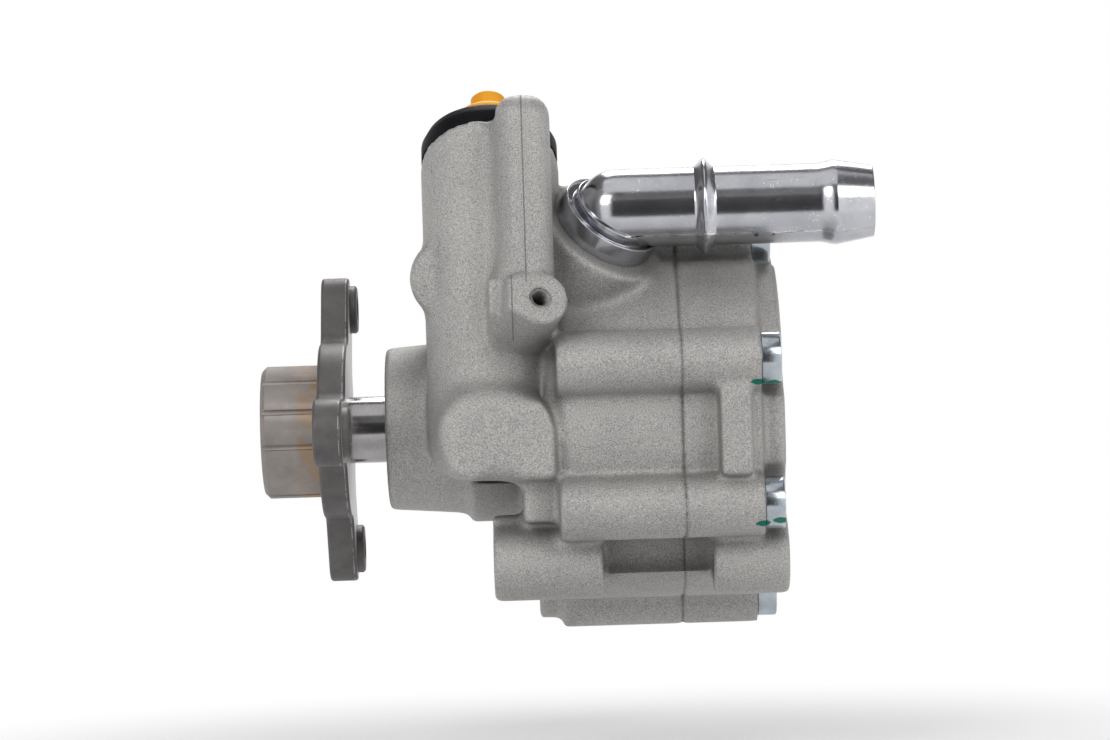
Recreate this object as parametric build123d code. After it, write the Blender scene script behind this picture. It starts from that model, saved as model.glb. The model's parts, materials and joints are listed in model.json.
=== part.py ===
"""Power steering pump: a vane pump with a three-armed drive hub, an upright flow valve
tower, a slanted outlet union and a pressed suction elbow.

The X axis is the shaft, with the drive end towards -X. Z is up. The origin lies on the shaft
axis in the plane where a pulley seats on the hub plate. All sizes are in millimetres.
"""
from build123d import *
from math import acos, cos, degrees, hypot, radians, sin, sqrt
import os

# Clearances
SLIDE_GAP = 0.02
RUN_GAP = 0.03
LOOSE_GAP = 0.4
TOUCH_GAP = 0.05
OVERSHOOT = 1.0

# Drive hub
pilot_radius = 16.9
pilot_length = 14.8
pilot_chamfer = 1.2
flute_radius = 0.75
flute_pitch_angle = 30.6
flute_group_angle = 18.0
flutes_in_group = 3
plate_thickness = 7.2
arm_count = 3
arm_circle_radius = 36.0
arm_end_radius = 8.3
plate_disc_radius = 22.5
arm_root_fillet = 6.0
arm_root_search = 0.6
plate_edge_radius = 0.9
thread_boss_radius = 6.2
thread_boss_height = 1.9
thread_boss_chamfer = 0.5
pulley_thread_radius = 3.4
hub_recess_depth = 1.5
hub_recess_radius = 12.5

# Shaft
shaft_radius = 8.5
shaft_chamfer = 0.8
spline_root_radius = 7.0
spline_tip_radius = 8.0
spline_tooth_width = 2.0
spline_teeth = 12
journal_radius = 6.0

# Nose of the front housing
hub_to_nose_gap = 7.8
nose_front_radius = 20.6
nose_draft = 1.6
nose_edge_radius = 1.2
nose_length = 20.7
collar_step_radius = 24.4
collar_step_length = 14.6
shoulder_length = 8.2
shoulder_drop = 4.1
shoulder_front_step = 2.7
shoulder_back_step = 2.1

# Ball bearing, snap ring and shaft seal
bearing_inset = 2.7
bearing_width = 10.0
bearing_outer_radius = 17.5
race_wall = 2.5
ball_radius = 2.38
ball_count = 9
race_groove_gap = 0.06
cage_thickness = 1.6
cage_width = 5.6
shield_thickness = 0.4
snap_ring_thickness = 1.2
snap_ring_depth = 1.1
snap_ring_width = 3.0
snap_ring_opening = 7.0
seal_radius = 15.0
seal_width = 7.0
seal_wall = 1.0
seal_gap = 0.6
seal_cup_bore_gap = 2.0
seal_lip_heel = 1.5
seal_lip_edge = 0.5
seal_lip_station = 5.0

# Pump body
body_radius = 45.0
body_length = 30.7
cover_length = 19.4
tail_radius = 42.0
tail_length = 5.9
tail_edge_radius = 1.5
cavity_radius = 36.0
spring_space = 2.0
front_plate_thickness = 6.0
cam_ring_width = 14.0
spigot_length = 8.1
passage_radius = 9.5

# Cover bolts
bolt_circle_radius = 46.5
bottom_bolt_angle = -105.0
bolt_angles = (80.0, 19.0, -26.0, bottom_bolt_angle, 145.0, 200.0)
bolt_radius = 4.0
bolt_hole_radius = 4.3
bolt_head_flats = 13.0
bolt_head_height = 5.0
bolt_head_chamfer = 0.7
bolt_length = 32.0
bolt_thread_depth = 14.0
ridge_radius = 8.0
scallop_radius = 9.3
bottom_ridge_step = 5.2
bottom_ridge_reach = 6.1
bottom_ridge_front_radius = 5.4
web_pad_start = 8.9
web_pad_length = 7.8
web_pad_height = 22.0
web_pad_center_z = -2.2
web_pad_proud = 5.6

# Lower mounting lugs
lug_offset = 30.0
lug_drop = 33.8
lug_radius = 9.5
lug_bore_radius = 5.25
front_lug_reach = 16.9
front_lug_length = 27.0
rear_lug_inset = 6.8
rear_lug_overhang = 0.3
lug_channel_radius = 6.4
lug_web_thickness = 12.0
lug_web_inset = 8.7
lug_chamfer = 0.8

# Valve tower
tower_x = 45.3
tower_y = -24.0
tower_radius = 17.2
tower_bottom = -13.0
tower_bottom_fillet = 8.6
tower_face_height = 66.0
tower_face_tilt = 31.5
pad_left = 29.6
pad_right = 59.7
pad_top = 10.4
pad_proud = 5.6
pad_depth = 14.0
pad_left_radius = 11.6
pad_right_radius = 12.5
pad_edge_radius = 1.4
pad_foot_radius = 1.1
column_width = 8.4
column_drop = 12.0
column_depth = 26.0
column_edge_radius = 1.6
rib_x = 53.8
rib_y = -44.2
rib_radius = 6.9
rib_top = 81.4
rib_top_radius = 5.6
rib_foot = 23.0
rib_foot_radius = 3.0
rib_web_width = 9.0
gallery_x = 35.2
gallery_z = 37.4
gallery_radius = 10.5
gallery_front = -33.0
gallery_back = 3.0
gallery_edge_radius = 2.5
gallery_bore_radius = 4.0
gallery_thread_radius = 6.0
gallery_thread_depth = 9.0
gallery_socket_flats = 6.0

# Tapped lug beside the rib
tapped_lug_x = 57.2
tapped_lug_y = -54.0
tapped_lug_z = 31.7
tapped_lug_axis = (0.25, -0.88, 0.40)
tapped_lug_radius = 7.0
tapped_lug_length = 19.0
tapped_lug_thread_radius = 2.5
tapped_lug_thread_depth = 12.0
tapped_lug_foot_offset = 6.6
tapped_lug_foot_top = 5.6
tapped_lug_foot_bottom = -3.4
tapped_lug_foot_width = 3.0
lug_block_left = 44.4
lug_block_right = 51.6
lug_block_top = 36.8
lug_block_bottom = 28.2
lug_block_foot = 18.5
lug_block_proud = 9.0
lug_block_lean = 1.0
lug_block_depth = 6.0
lug_block_edge_radius = 0.7
tapped_lug_edge_radius = 0.8

# Suction port and elbow
port_setback = 12.6
port_rise = 3.3
port_axis = (0.502, -0.522, 0.690)
port_boss_radius = 17.3
port_boss_root_radius = 23.0
port_boss_depth = 20.0
port_boss_edge = 1.4
port_face_radius = 14.2
port_bore_radius = 8.8
port_bore_depth = 8.5
port_passage_radius = 7.0
port_passage_depth = 24.0
collar_radius = 13.2
collar_height = 5.6
collar_edge = 0.6
collar_recess = 0.8
collar_recess_width = 1.1
curl_radius = 10.9
curl_height = 1.9
pipe_radius = 10.0
pipe_wall = 1.2
pipe_end = 140.5
corner_height = 7.25
spigot_wall = 1.2
port_spigot_length = 7.5
bead_x = 98.5
bead_radius = 12.15
bead_width = 7.4
bead_crest_width = 1.6
barb_length = 12.3
barb_radius = 10.8
barb_land = 1.6
barb_tip_radius = 9.1

# Outlet union and transport plug
union_rim_radius = 17.0
union_rim_height = 4.2
union_top_radius = 15.6
union_height = 7.1
union_thread_radius = 9.0
union_thread_length = 12.0
union_seal_room = 1.0
union_bore_radius = 4.8
plug_shank_radius = 4.6
plug_shank_length = 12.0
plug_body_radius = 7.2
plug_body_height = 3.5
plug_flange_radius = 8.8
plug_flange_top_radius = 7.8
plug_flange_rim = 1.8
plug_flange_height = 3.0
plug_knob_radius = 4.4
plug_knob_height = 6.0
plug_knob_chamfer = 0.6

# Flow valve
valve_bore_radius = 7.0
valve_bore_top = 44.0
valve_passage_radius = 3.6
valve_plug_radius = 7.5
valve_plug_length = 9.0
valve_plug_recess = 0.8
valve_plug_socket_flats = 6.0
valve_plug_socket_depth = 4.0
valve_spool_length = 28.0
valve_land_length = 8.0
valve_waist_radius = 5.2
valve_pocket_radius = 5.4
valve_pocket_depth = 8.0
valve_floor = 1.0
valve_nose_radius = 3.0
valve_nose_length = 2.5
valve_spring_wire = 0.8
valve_spring_turns = 6
relief_bore_radius = 2.6
relief_bore_depth = 15.5
relief_ball_radius = 2.0
relief_screw_length = 4.0
relief_port_radius = 1.2
relief_spring_wire = 0.35
relief_spring_turns = 6

# Rotor, vanes and cam ring
rotor_radius = 19.3
vane_count = 10
vane_thickness = 1.8
vane_length = 7.8
vane_sink = 0.1
vane_tip_radius = 0.7
vane_root_radius = 1.3
vane_root_gap = 0.4
cam_major_radius = 22.0
cam_minor_radius = 19.6
cam_ring_radius = 32.0
kidney_radius = 17.6
kidney_width = 3.6
kidney_sweep = 48.0
kidney_depth = 4.0
kidney_angles = (45, 135, 225, 315)
root_port_radius = 11.6
root_port_width = 2.2
root_port_sweep = 60.0
root_port_depth = 1.0
root_port_angles = (45, 225)
dowel_radius = 2.0
dowel_circle_radius = 27.0
dowel_bury = 4.0
rotor_ring_thickness = 1.0
rotor_ring_radius = 9.2
rotor_ring_bore = 6.3
rotor_ring_pocket = 2.2
rotor_ring_opening = 6.3

# Rings, plate spring and rear bush
o_ring_section = 1.25
o_ring_squeeze = 0.03
o_ring_groove_width = 3.2
plate_spring_inner = 22.0
plate_spring_outer = 34.5
plate_spring_thickness = 1.0
plate_spring_rise = 0.9
bush_outer_radius = 8.5
bush_length = 14.0
bush_inset = 2.6
journal_room = 2.0
tail_recess_radius = 29.0
tail_recess_depth = 3.5
tail_boss_radius = 12.0
tail_rib_count = 6
tail_rib_width = 4.0

# Stations along the shaft
plate_back = plate_thickness
boss_back = plate_back + thread_boss_height
nose_face = boss_back + hub_to_nose_gap
nose_end = nose_face + nose_length
collar_step_end = nose_end + collar_step_length
body_face = collar_step_end + shoulder_length
seam = body_face + body_length
bolt_seat = seam + cover_length
tail_face = bolt_seat + tail_length
spigot_face = seam - spigot_length
cam_ring_face = spigot_face - cam_ring_width
front_plate_face = cam_ring_face - front_plate_thickness
cavity_face = front_plate_face - spring_space
bearing_face = nose_face + bearing_inset
bearing_back = bearing_face + bearing_width
bearing_center = bearing_face + bearing_width / 2
seal_face = bearing_back + seal_gap
seal_back = seal_face + seal_width
shaft_front = hub_recess_depth - pilot_length
bush_face = spigot_face + bush_inset
bush_back = bush_face + bush_length
journal_end = bush_back - journal_room / 2
front_lug_face = body_face - front_lug_reach
front_lug_back = front_lug_face + front_lug_length
rear_lug_face = seam + rear_lug_inset
rear_lug_back = tail_face + rear_lug_overhang
inner_race_radius = shaft_radius + race_wall
outer_race_radius = bearing_outer_radius - race_wall
pitch_radius = (inner_race_radius + outer_race_radius) / 2

# Working planes: their own z axis is the axis of the feature
along_x = Plane(origin=(0, 0, 0), x_dir=(0, 1, 0), z_dir=(1, 0, 0))
union_axis = (0, sin(radians(tower_face_tilt)), cos(radians(tower_face_tilt)))
union_plane = Plane(origin=(tower_x, tower_y, tower_face_height), x_dir=(1, 0, 0), z_dir=union_axis)
port_plane = Plane(
    origin=(body_face + port_setback, tower_y, body_radius + port_rise), x_dir=(0, 1, 0), z_dir=port_axis
)
tapped_plane = Plane(
    origin=(tapped_lug_x, tapped_lug_y, tapped_lug_z), x_dir=(1, 0, 0), z_dir=tapped_lug_axis
)
upright = Plane(origin=(tower_x, tower_y, 0), x_dir=(1, 0, 0), z_dir=(0, 0, 1))


def bar(plane, radius, start, end, x=0.0, y=0.0):
    """Round bar along a plane's own z axis, between two stations on that axis."""
    return plane * Pos(x, y, (start + end) / 2) * Cylinder(radius, end - start)


def tube(plane, outer, inner, start, end):
    """Round ring along a plane's own z axis."""
    ends = OVERSHOOT
    return bar(plane, outer, start, end) - bar(plane, inner, start - ends, end + ends)


def spun(plane, outline):
    """Turned solid from (radius, station) points, round a plane's own z axis."""
    profile = make_face(Polyline(*[(radius, 0, station) for radius, station in outline], close=True))
    return plane * revolve(profile, Axis.Z)


def open_ring(outer, inner, start, end, opening):
    """Flat ring on the shaft axis with an opening at its top."""
    missing = degrees(opening / outer)
    profile = make_face(Polyline(
        (inner, 0, start), (outer, 0, start), (outer, 0, end), (inner, 0, end), close=True
    ))
    return along_x * Rot(0, 0, 90 + missing / 2) * revolve(profile, Axis.Z, revolution_arc=360 - missing)


def hexagon_bar(plane, flats, start, end):
    """Hexagonal bar along a plane's own z axis, given by its width across flats."""
    section = RegularPolygon(flats / 2, 6, major_radius=False)
    return plane * Pos(0, 0, start) * extrude(section, end - start)


def circle_places(radius, angles):
    """Points round the shaft, each angle counted from the near side towards the top."""
    return [(-radius * cos(radians(a)), radius * sin(radians(a))) for a in angles]


def together(pieces):
    """Separate solids that share one node."""
    return Compound(children=list(pieces))


bolt_places = circle_places(bolt_circle_radius, bolt_angles)
lug_places = [(-lug_offset, -lug_drop), (lug_offset, -lug_drop)]
arm_angles = [180.0 + 360.0 * i / arm_count for i in range(arm_count)]
arm_places = [
    (arm_circle_radius * cos(radians(a)), arm_circle_radius * sin(radians(a))) for a in arm_angles
]
lug_reach = hypot(lug_offset, lug_drop)
corner = port_plane.from_local_coords((0, 0, corner_height))
pipe_axis = Plane(origin=(0, corner.Y, corner.Z), x_dir=(0, 1, 0), z_dir=(1, 0, 0))


# Drive group

def star_outline():
    """Three rounded arms on a disc, with filleted roots."""
    star = Circle(plate_disc_radius)
    for angle in arm_angles:
        arm = Pos(arm_circle_radius / 2, 0) * Rectangle(arm_circle_radius, 2 * arm_end_radius)
        star += Rot(0, 0, angle) * (arm + Pos(arm_circle_radius, 0) * Circle(arm_end_radius))
    half_angle = degrees(acos(sqrt(plate_disc_radius**2 - arm_end_radius**2) / plate_disc_radius))
    roots = [
        (plate_disc_radius * cos(radians(a + s * half_angle)),
         plate_disc_radius * sin(radians(a + s * half_angle)))
        for a in arm_angles
        for s in (-1, 1)
    ]
    near_roots = [
        v for v in star.vertices() if min(hypot(v.X - x, v.Y - y) for x, y in roots) < arm_root_search
    ]
    return fillet(near_roots, arm_root_fillet)


def drive_hub():
    """Sintered hub: grooved pilot, three-armed plate and tapped bosses on its back."""
    plate = extrude(star_outline(), plate_thickness)
    plate = fillet(plate.faces().sort_by(Axis.Z)[0].edges(), plate_edge_radius)
    plate = fillet(plate.faces().sort_by(Axis.Z)[-1].edges(), plate_edge_radius)
    hub = along_x * plate
    for y, z in arm_places:
        boss = spun(Plane.XY, [
            (0, -plate_thickness / 2),
            (thread_boss_radius, -plate_thickness / 2),
            (thread_boss_radius, thread_boss_height - thread_boss_chamfer),
            (thread_boss_radius - thread_boss_chamfer, thread_boss_height),
            (0, thread_boss_height),
        ])
        hub += along_x * Pos(y, z, plate_back) * boss
    hub += spun(along_x, [
        (0, -pilot_length),
        (pilot_radius - pilot_chamfer, -pilot_length),
        (pilot_radius, pilot_chamfer - pilot_length),
        (pilot_radius, plate_thickness / 2),
        (0, plate_thickness / 2),
    ])
    middle = (flutes_in_group - 1) / 2
    for group in range(arm_count):
        for flute in range(flutes_in_group):
            turn = flute_group_angle + group * 360 / arm_count + (flute - middle) * flute_pitch_angle
            y, z = circle_places(pilot_radius, [turn])[0]
            hub -= bar(along_x, flute_radius, -pilot_length - OVERSHOOT, 0, y, z)
    for y, z in arm_places:
        hub -= bar(along_x, pulley_thread_radius, -OVERSHOOT, boss_back + OVERSHOOT, y, z)
    hub -= bar(along_x, hub_recess_radius, -pilot_length - OVERSHOOT, shaft_front)
    hub -= bar(along_x, shaft_radius, -pilot_length, boss_back + OVERSHOOT)
    return hub


def drive_shaft():
    """Stepped shaft with a splined seat for the rotor."""
    spline_start = cam_ring_face - front_plate_thickness / 2
    spline_end = spigot_face + rotor_ring_thickness + RUN_GAP
    shaft = spun(along_x, [
        (0, shaft_front),
        (shaft_radius - shaft_chamfer, shaft_front),
        (shaft_radius, shaft_front + shaft_chamfer),
        (shaft_radius, spline_start - shaft_chamfer),
        (spline_root_radius, spline_start),
        (spline_root_radius, spline_end),
        (journal_radius, spline_end),
        (journal_radius, journal_end - shaft_chamfer),
        (journal_radius - shaft_chamfer, journal_end),
        (0, journal_end),
    ])
    tooth_reach = spline_tip_radius - spline_root_radius / 2
    tooth_length = spigot_face - spline_start
    for i in range(spline_teeth):
        tooth = Pos(spline_root_radius / 2 + tooth_reach / 2, 0, spline_start + tooth_length / 2)
        shaft += along_x * Rot(0, 0, i * 360 / spline_teeth) * tooth * Box(
            tooth_reach, spline_tooth_width, tooth_length
        )
    ring_groove = tube(
        along_x, shaft_radius, rotor_ring_bore, spigot_face, spigot_face + rotor_ring_thickness + RUN_GAP
    )
    return shaft - ring_groove


def rotor():
    """Slotted rotor with keyed spline bore."""
    start = cam_ring_face + RUN_GAP
    end = spigot_face - RUN_GAP
    body = bar(along_x, rotor_radius, start, end)
    body -= bar(along_x, spline_root_radius + RUN_GAP, start - OVERSHOOT, end + OVERSHOOT)
    depth = end - start + 2 * OVERSHOOT
    middle = (start + end) / 2
    key_width = spline_tooth_width + 2 * RUN_GAP
    key_reach = spline_tip_radius + RUN_GAP
    for i in range(spline_teeth):
        turn = Rot(0, 0, i * 360 / spline_teeth)
        body -= along_x * turn * Pos(key_reach / 2, 0, middle) * Box(key_reach, key_width, depth)
    slot_root = rotor_radius - vane_sink - vane_length - vane_root_gap
    slot_width = vane_thickness + 2 * SLIDE_GAP
    slot_reach = rotor_radius + OVERSHOOT - slot_root
    for i in range(vane_count):
        turn = Rot(0, 0, i * 360 / vane_count)
        body -= along_x * turn * Pos(slot_root + slot_reach / 2, 0, middle) * Box(
            slot_reach, slot_width, depth
        )
        body -= along_x * turn * Pos(slot_root, 0, middle) * Cylinder(vane_root_radius, depth)
    return body


def vane(index):
    """One flat vane, drawn in, with a rounded tip."""
    width = cam_ring_width - 2 * RUN_GAP
    blank = Box(vane_length, vane_thickness, width)
    outer_edges = blank.faces().sort_by(Axis.X)[-1].edges().filter_by(Axis.Z)
    blank = fillet(outer_edges, vane_tip_radius)
    middle_radius = rotor_radius - vane_sink - vane_length / 2
    turn = Rot(0, 0, index * 360 / vane_count)
    return along_x * turn * Pos(middle_radius, 0, (cam_ring_face + spigot_face) / 2) * blank


def rotor_ring():
    """Open spring ring that keeps the rotor on the shaft."""
    return open_ring(
        rotor_ring_radius, rotor_ring_bore, spigot_face, spigot_face + rotor_ring_thickness, rotor_ring_opening
    )


# Bearing and shaft seal

def race_groove():
    """Ring-shaped track that the balls run in."""
    return along_x * Pos(0, 0, bearing_center) * Torus(pitch_radius, ball_radius + race_groove_gap)


def bearing_inner_race():
    return tube(along_x, inner_race_radius, shaft_radius, bearing_face, bearing_back) - race_groove()


def bearing_outer_race():
    return tube(along_x, bearing_outer_radius, outer_race_radius, bearing_face, bearing_back) - race_groove()


def ball_locations():
    return [
        along_x * Rot(0, 0, i * 360 / ball_count) * Pos(pitch_radius, 0, bearing_center)
        for i in range(ball_count)
    ]


def bearing_balls():
    return together([place * Sphere(ball_radius) for place in ball_locations()])


def bearing_cage():
    """Pocketed ring that spaces the balls."""
    ring = tube(
        along_x,
        pitch_radius + cage_thickness / 2,
        pitch_radius - cage_thickness / 2,
        bearing_center - cage_width / 2,
        bearing_center + cage_width / 2,
    )
    for place in ball_locations():
        ring -= place * Rot(0, 90, 0) * Cylinder(ball_radius + race_groove_gap, 2 * ball_radius)
    return ring


def bearing_shields():
    """Two thin discs pressed into the outer race."""
    inset = shield_thickness
    front = tube(
        along_x, outer_race_radius, inner_race_radius + LOOSE_GAP / 2,
        bearing_face + inset, bearing_face + inset + shield_thickness,
    )
    back = tube(
        along_x, outer_race_radius, inner_race_radius + LOOSE_GAP / 2,
        bearing_back - inset - shield_thickness, bearing_back - inset,
    )
    return together([front, back])


def bearing_snap_ring():
    """Open ring in front of the bearing."""
    outer = bearing_outer_radius + snap_ring_depth - TOUCH_GAP
    return open_ring(
        outer, outer - snap_ring_width, bearing_face - snap_ring_thickness, bearing_face, snap_ring_opening
    )


def shaft_seal_case():
    """Pressed cup of the shaft seal."""
    return spun(along_x, [
        (seal_radius, seal_face),
        (seal_radius, seal_back),
        (seal_radius - seal_wall, seal_back),
        (seal_radius - seal_wall, seal_face + seal_wall),
        (shaft_radius + seal_cup_bore_gap, seal_face + seal_wall),
        (shaft_radius + seal_cup_bore_gap, seal_face),
    ])


def shaft_seal_lip():
    """Rubber lip moulded into the cup."""
    edge = shaft_radius + SLIDE_GAP
    back_of_cup = seal_face + seal_wall
    return spun(along_x, [
        (shaft_radius + seal_cup_bore_gap, back_of_cup),
        (seal_radius - seal_wall, back_of_cup),
        (seal_radius - seal_wall, seal_back - seal_wall),
        (seal_radius - 2 * seal_wall, seal_back - seal_wall),
        (seal_radius - 2 * seal_wall, back_of_cup + seal_wall),
        (edge + seal_cup_bore_gap, back_of_cup + seal_lip_heel),
        (edge + seal_lip_heel, seal_face + seal_lip_station + seal_lip_edge),
        (edge, seal_face + seal_lip_station),
        (edge + seal_lip_edge, back_of_cup + seal_wall),
    ])


# Front housing

def nose_and_body():
    """Turned mass of the casting: tapered nose, stepped collar, shoulder and round body."""
    mass = spun(along_x, [
        (0, nose_face),
        (nose_front_radius, nose_face),
        (nose_front_radius + nose_draft, nose_end),
        (collar_step_radius, nose_end),
        (collar_step_radius, collar_step_end),
        (body_radius - shoulder_drop, body_face - shoulder_front_step),
        (body_radius, body_face + shoulder_back_step),
        (body_radius, seam),
        (0, seam),
    ])
    front_rim = mass.edges().filter_by(GeomType.CIRCLE).sort_by(Axis.X)[0]
    return fillet(front_rim, nose_edge_radius)


def tower():
    """Upright valve barrel, rounded below and cut off on a slant above, with its near rib."""
    cut_size = 6 * tower_radius
    top = tower_face_height + cut_size / 3
    barrel = bar(upright, tower_radius, tower_bottom, top)
    barrel = fillet(barrel.edges().filter_by(GeomType.CIRCLE).sort_by(Axis.Z)[0], tower_bottom_fillet)
    web_depth = tower_y - rib_y
    barrel += Pos(rib_x, rib_y + web_depth / 2, (rib_foot + top) / 2) * Box(
        rib_web_width, web_depth, top - rib_foot
    )
    barrel -= union_plane * Pos(0, 0, cut_size / 2) * Box(cut_size, cut_size, cut_size)
    rib = Pos(rib_x, rib_y, (rib_foot + rib_top) / 2) * Cylinder(rib_radius, rib_top - rib_foot)
    rims = rib.edges().filter_by(GeomType.CIRCLE).sort_by(Axis.Z)
    rib = fillet(rims[-1], rib_top_radius)
    rib = fillet(rib.edges().filter_by(GeomType.CIRCLE).sort_by(Axis.Z)[0], rib_foot_radius)
    return barrel + rib


def front_pad():
    """Flat pad at the foot of the tower, with its rounded outline."""
    near = tower_y - tower_radius - pad_proud
    outline = FilletPolyline(
        (pad_left, tower_bottom), (pad_right, tower_bottom), (pad_right, pad_top), (pad_left, pad_top),
        radius=[pad_left_radius, pad_foot_radius, pad_right_radius, pad_left_radius],
        close=True,
    )
    pad = Pos(0, near + pad_depth, 0) * extrude(Plane.XZ * make_face(outline), pad_depth)
    return fillet(pad.faces().sort_by(Axis.Y)[0].edges(), pad_edge_radius)


def foot_column():
    """Short upright web from the pad down to the lower lug."""
    near = tower_y - tower_radius
    column = Box(column_width, column_depth, column_drop)
    column = fillet(column.edges().filter_by(Axis.Z).group_by(Axis.Y)[0], column_edge_radius)
    return Pos(
        pad_right - column_width / 2,
        near + column_depth / 2,
        tower_bottom - column_drop / 2 + pad_edge_radius,
    ) * column


def gallery_boss():
    """Round boss across the tower for the drilled gallery."""
    boss = Pos(gallery_x, (gallery_front + gallery_back) / 2, gallery_z) * Rot(90, 0, 0) * Cylinder(
        gallery_radius, gallery_back - gallery_front
    )
    return fillet(boss.edges().filter_by(GeomType.CIRCLE).sort_by(Axis.Y)[0], gallery_edge_radius)


def lug_block():
    """Square block beside the tapped lug, on a short column that runs out into the barrel."""
    near = tower_y - tower_radius
    back = near + lug_block_depth
    front = near - lug_block_proud
    side = make_face(Polyline(
        (back, lug_block_top),
        (front + lug_block_lean, lug_block_top),
        (front, lug_block_bottom),
        (near, lug_block_foot),
        (back, lug_block_foot),
        close=True,
    ))
    block = Pos(lug_block_left, 0, 0) * extrude(Plane.YZ * side, lug_block_right - lug_block_left)
    fronts = block.edges().filter_by(Axis.X).sort_by(Axis.Y)[:2]
    return fillet(fronts, lug_block_edge_radius)


def tapped_lug():
    """Leaning lug, round at its hole and square where it meets the block."""
    foot = Pos(-tapped_lug_foot_offset, (tapped_lug_foot_top + tapped_lug_foot_bottom) / 2) * Rectangle(
        tapped_lug_foot_width, tapped_lug_foot_top - tapped_lug_foot_bottom
    )
    outline = make_hull(Circle(tapped_lug_radius).edges() + foot.edges())
    lug = extrude(outline, -tapped_lug_length)
    lug = fillet(lug.faces().sort_by(Axis.Z)[-1].edges(), tapped_lug_edge_radius)
    return tapped_plane * lug


def suction_boss():
    """Tapered boss that carries the suction elbow."""
    boss = Pos(0, 0, -port_boss_depth / 2) * Cone(port_boss_root_radius, port_boss_radius, port_boss_depth)
    boss = fillet(boss.edges().filter_by(GeomType.CIRCLE).sort_by(Axis.Z)[-1], port_boss_edge)
    return port_plane * boss


def lug_bar(start, end, y, z):
    """Round lug along the shaft direction, with chamfered rims."""
    lug = Pos(0, 0, (start + end) / 2) * Cylinder(lug_radius, end - start)
    lug = chamfer(lug.edges().filter_by(GeomType.CIRCLE), lug_chamfer)
    return along_x * Pos(y, z, 0) * lug


def front_lugs():
    """Lower lugs, each held to the nose by a radial web."""
    mass = None
    for y, z in lug_places:
        lean = degrees(acos(y / lug_reach))
        web_start = front_lug_face + lug_web_inset
        web_length = body_face + shoulder_length / 2 - web_start
        web = Pos(lug_reach / 2, 0, web_start + web_length / 2) * Box(
            lug_reach, lug_web_thickness, web_length
        )
        piece = lug_bar(front_lug_face, front_lug_back, y, z) + along_x * Rot(0, 0, -lean) * web
        mass = piece if mass is None else mass + piece
    return mass


def ridges(start, end):
    """Round ridges that hold the cover bolts."""
    mass = None
    for y, z in bolt_places:
        ridge = bar(along_x, ridge_radius, start, end, y, z)
        mass = ridge if mass is None else mass + ridge
    return mass


def shaft_passage():
    """Everything cut on the shaft axis, from the bearing seat to the pump cavity."""
    cut = bar(along_x, bearing_outer_radius, nose_face - OVERSHOOT, bearing_back)
    ring_outer = bearing_outer_radius + snap_ring_depth
    cut += bar(along_x, ring_outer, bearing_face - snap_ring_thickness - TOUCH_GAP, bearing_face)
    cut += bar(along_x, seal_radius, bearing_back, seal_back + seal_gap)
    cut += bar(along_x, passage_radius, seal_back, cavity_face + OVERSHOOT)
    cut += bar(along_x, cavity_radius, cavity_face, seam + OVERSHOOT)
    return cut


def valve_passages():
    """Valve bore from below, its plug seat, and the way up to the union."""
    cut = bar(upright, valve_bore_radius, tower_bottom - OVERSHOOT, valve_bore_top)
    plug_top = tower_bottom + valve_plug_recess + valve_plug_length
    cut += bar(upright, valve_plug_radius, tower_bottom - OVERSHOOT, plug_top)
    cut += bar(upright, valve_passage_radius, valve_bore_top - OVERSHOOT, tower_face_height - OVERSHOOT)
    thread_room = union_thread_radius + TOUCH_GAP
    cut += bar(union_plane, thread_room, -union_thread_length - union_seal_room, OVERSHOOT)
    return cut


def gallery_passage():
    """Cross drilling into the valve bore, threaded at its far end for a plug."""
    back = gallery_back + OVERSHOOT
    drill = Pos(gallery_x, (tower_y + back) / 2, gallery_z) * Rot(90, 0, 0) * Cylinder(
        gallery_bore_radius, back - tower_y
    )
    depth = gallery_thread_depth + OVERSHOOT
    thread = Pos(gallery_x, back - depth / 2, gallery_z) * Rot(90, 0, 0) * Cylinder(
        gallery_thread_radius, depth
    )
    return drill + thread


def port_passage():
    """Spot face, spigot bore and drilling of the suction port."""
    cut = bar(port_plane, port_face_radius, 0, 2 * collar_height)
    cut += bar(port_plane, port_bore_radius, -port_bore_depth, OVERSHOOT)
    cut += bar(port_plane, port_passage_radius, -port_passage_depth, OVERSHOOT)
    return cut


def lug_cuts():
    """Lug bores and the channels between the lugs for the long mounting bolts."""
    cut = None
    for y, z in lug_places:
        bore = bar(along_x, lug_bore_radius, front_lug_face - OVERSHOOT, rear_lug_back + OVERSHOOT, y, z)
        bore += bar(along_x, lug_channel_radius, front_lug_back, rear_lug_face, y, z)
        cut = bore if cut is None else cut + bore
    return cut


def front_housing():
    """The main casting."""
    casting = nose_and_body() + ridges(body_face, seam)
    y, z = circle_places(bolt_circle_radius, [bottom_bolt_angle])[0]
    casting += bar(
        along_x, bottom_ridge_front_radius, body_face - bottom_ridge_reach, body_face + bottom_ridge_step, y, z
    )
    casting += front_lugs()
    casting += tower()
    casting += front_pad()
    casting += foot_column()
    casting += gallery_boss()
    casting += suction_boss()
    casting += lug_block()
    casting += tapped_lug()
    casting -= shaft_passage()
    casting -= valve_passages()
    casting -= gallery_passage()
    casting -= port_passage()
    casting -= lug_cuts()
    for y, z in bolt_places:
        casting -= bar(along_x, bolt_radius + TOUCH_GAP, seam - bolt_thread_depth, seam + OVERSHOOT, y, z)
    casting -= bar(
        tapped_plane, tapped_lug_thread_radius, -tapped_lug_thread_depth, OVERSHOOT
    )
    return casting


# Rear cover

def kidneys(radius, width, sweep, depth, angles):
    """Curved ports sunk into the spigot face."""
    mass = None
    for angle in angles:
        arc = CenterArc((0, 0), radius, angle - sweep / 2, sweep)
        port = extrude(SlotArc(arc, width), depth)
        mass = port if mass is None else mass + port
    return mass


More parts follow.
